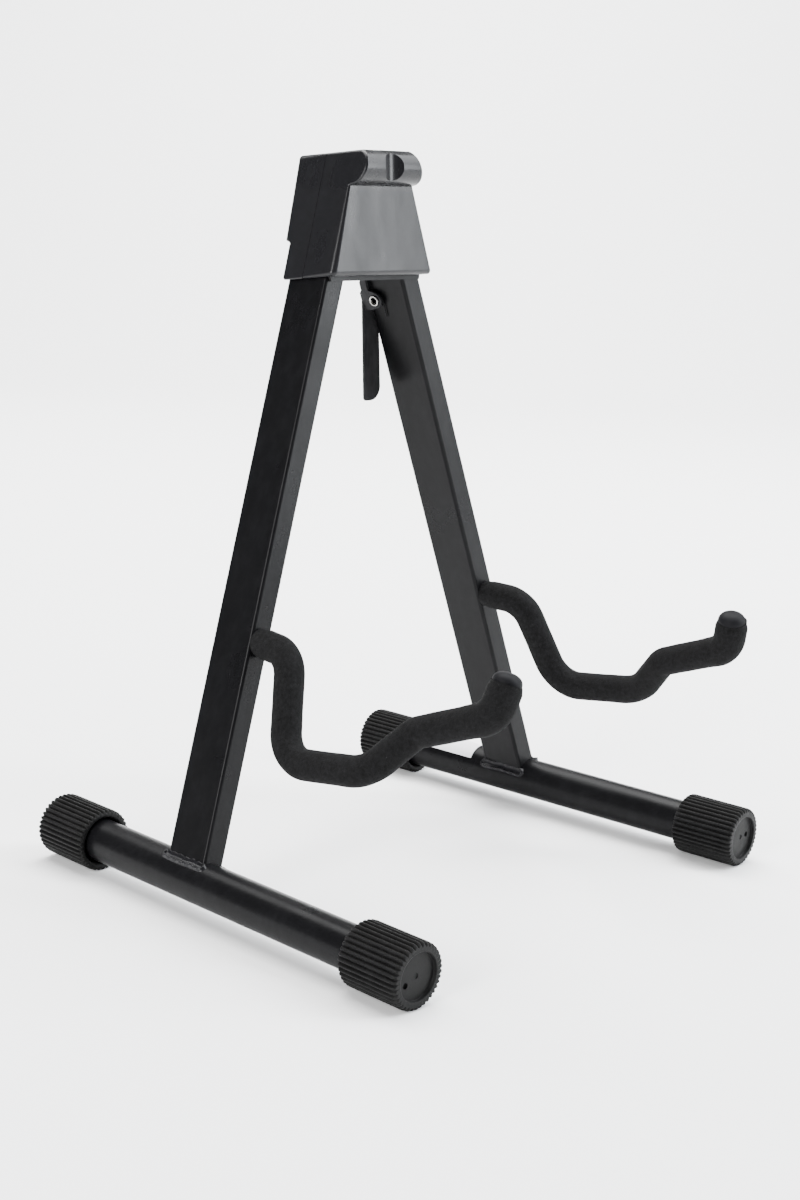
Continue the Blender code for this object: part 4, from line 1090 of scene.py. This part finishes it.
CAMERA_PLACE = Vector((-867.988, -726.015, 425.563)) * MM
CAMERA_YAW = math.radians(-49.445)
CAMERA_PITCH = math.radians(-13.005)
CAMERA_ROLL = math.radians(2.843)
FOCAL_PIXELS = 1974.377
PHOTO_HEIGHT = 1200
SENSOR = 36.0


def build_camera():
    look = Vector((-math.sin(CAMERA_YAW) * math.cos(CAMERA_PITCH),
                   math.cos(CAMERA_YAW) * math.cos(CAMERA_PITCH), math.sin(CAMERA_PITCH)))
    right = look.cross(Vector((0, 0, 1))).normalized()
    up = right.cross(look)
    rolled_right = math.cos(CAMERA_ROLL) * right + math.sin(CAMERA_ROLL) * up
    rolled_up = -math.sin(CAMERA_ROLL) * right + math.cos(CAMERA_ROLL) * up
    data = bpy.data.cameras.new("camera")
    data.sensor_fit = "AUTO"
    data.sensor_width = SENSOR
    data.lens = FOCAL_PIXELS * SENSOR / PHOTO_HEIGHT
    data.clip_start = 0.01
    camera = bpy.data.objects.new("camera", data)
    turn = Matrix((rolled_right, rolled_up, -look)).transposed().to_4x4()
    camera.matrix_world = Matrix.Translation(CAMERA_PLACE) @ turn
    bpy.context.scene.collection.objects.link(camera)
    bpy.context.scene.camera = camera


def area_light(name, place, target, size, power, colour):
    data = bpy.data.lights.new(name, "AREA")
    data.shape = "RECTANGLE"
    data.size = size[0]
    data.size_y = size[1]
    data.energy = power
    data.color = colour
    light = bpy.data.objects.new(name, data)
    light.location = place
    light.rotation_euler = (Vector(target) - Vector(place)).to_track_quat("-Z", "Y").to_euler()
    bpy.context.scene.collection.objects.link(light)


# Name, place and target in metres, width and height, watts, colour
LIGHTS = (
    ("right_softbox", (1.68, -1.86, 1.6), (0, 0, 0.5), (0.95, 3.1), 215, (0.94, 0.97, 1.0)),
    ("side_softbox", (1.92, -0.52, 2.07), (0, 0, 0.35), (1.6, 1.6), 62, (0.95, 0.975, 1.0)),
    ("left_softbox", (-2.39, -0.21, 0.9), (0, 0, 0.25), (0.7, 1.6), 105, (1, 1, 1)),
    ("top_softbox", (0.5, 1.0, 2.7), (0.4, 0.7, 0), (2.8, 2.8), 245, (1, 1, 1)),
    ("backdrop_light", (1.0, 0.7, 2.6), (2.3, 2.0, 0.4), (1.6, 1.0), 130, (1, 1, 1)),
)
WORLD_STRENGTH = 0.4
# The backdrop runs flat under the stand, then curves up behind it as the camera sees it
BACKDROP_HALF = 5.0
BACKDROP_NEAR = -5.0
BACKDROP_FAR = 2.2
BACKDROP_BEND = 1.2
BACKDROP_TURN = -18.0


def build_backdrop():
    away = Vector((-math.sin(CAMERA_YAW), math.cos(CAMERA_YAW), 0))
    level = away.cross(Vector((0, 0, 1)))
    profile = [(BACKDROP_NEAR, 0.0)]
    profile += arc(BACKDROP_FAR, BACKDROP_BEND, BACKDROP_BEND, -90, BACKDROP_TURN, 16)
    mesh_data = bmesh.new()
    rows = []
    for along, height in profile:
        middle = away * along + Vector((0, 0, height))
        rows.append([mesh_data.verts.new(middle + level * side * BACKDROP_HALF) for side in (-1, 1)])
    for first, second in zip(rows, rows[1:]):
        mesh_data.faces.new((first[0], first[1], second[1], second[0]))
    mesh = bpy.data.meshes.new("floor")
    mesh_data.to_mesh(mesh)
    mesh_data.free()
    mesh.shade_smooth()
    floor = bpy.data.objects.new("floor", mesh)
    bpy.context.scene.collection.objects.link(floor)
    material = bpy.data.materials.new("pale_floor")
    material.use_nodes = True
    shader = material.node_tree.nodes["Principled BSDF"]
    shader.inputs["Base Color"].default_value = (0.92, 0.92, 0.92, 1)
    shader.inputs["Roughness"].default_value = 1.0
    shader.inputs["Specular IOR Level"].default_value = 0.0
    floor.data.materials.append(material)


def build_studio():
    build_backdrop()
    world = bpy.data.worlds.new("studio")
    world.use_nodes = True
    background = world.node_tree.nodes["Background"]
    background.inputs["Color"].default_value = (1, 1, 1, 1)
    background.inputs["Strength"].default_value = WORLD_STRENGTH
    bpy.context.scene.world = world
    for light in LIGHTS:
        area_light(*light)


def main():
    build_camera()
    build_studio()
    paint_nodes()
    build_feet()
    build_legs()
    build_welds()
    build_yokes()
    build_front_cover()
    build_rear_cover()
    build_lever()
    build_rivet()
    build_sticker()


main()
bpy.context.view_layer.update()
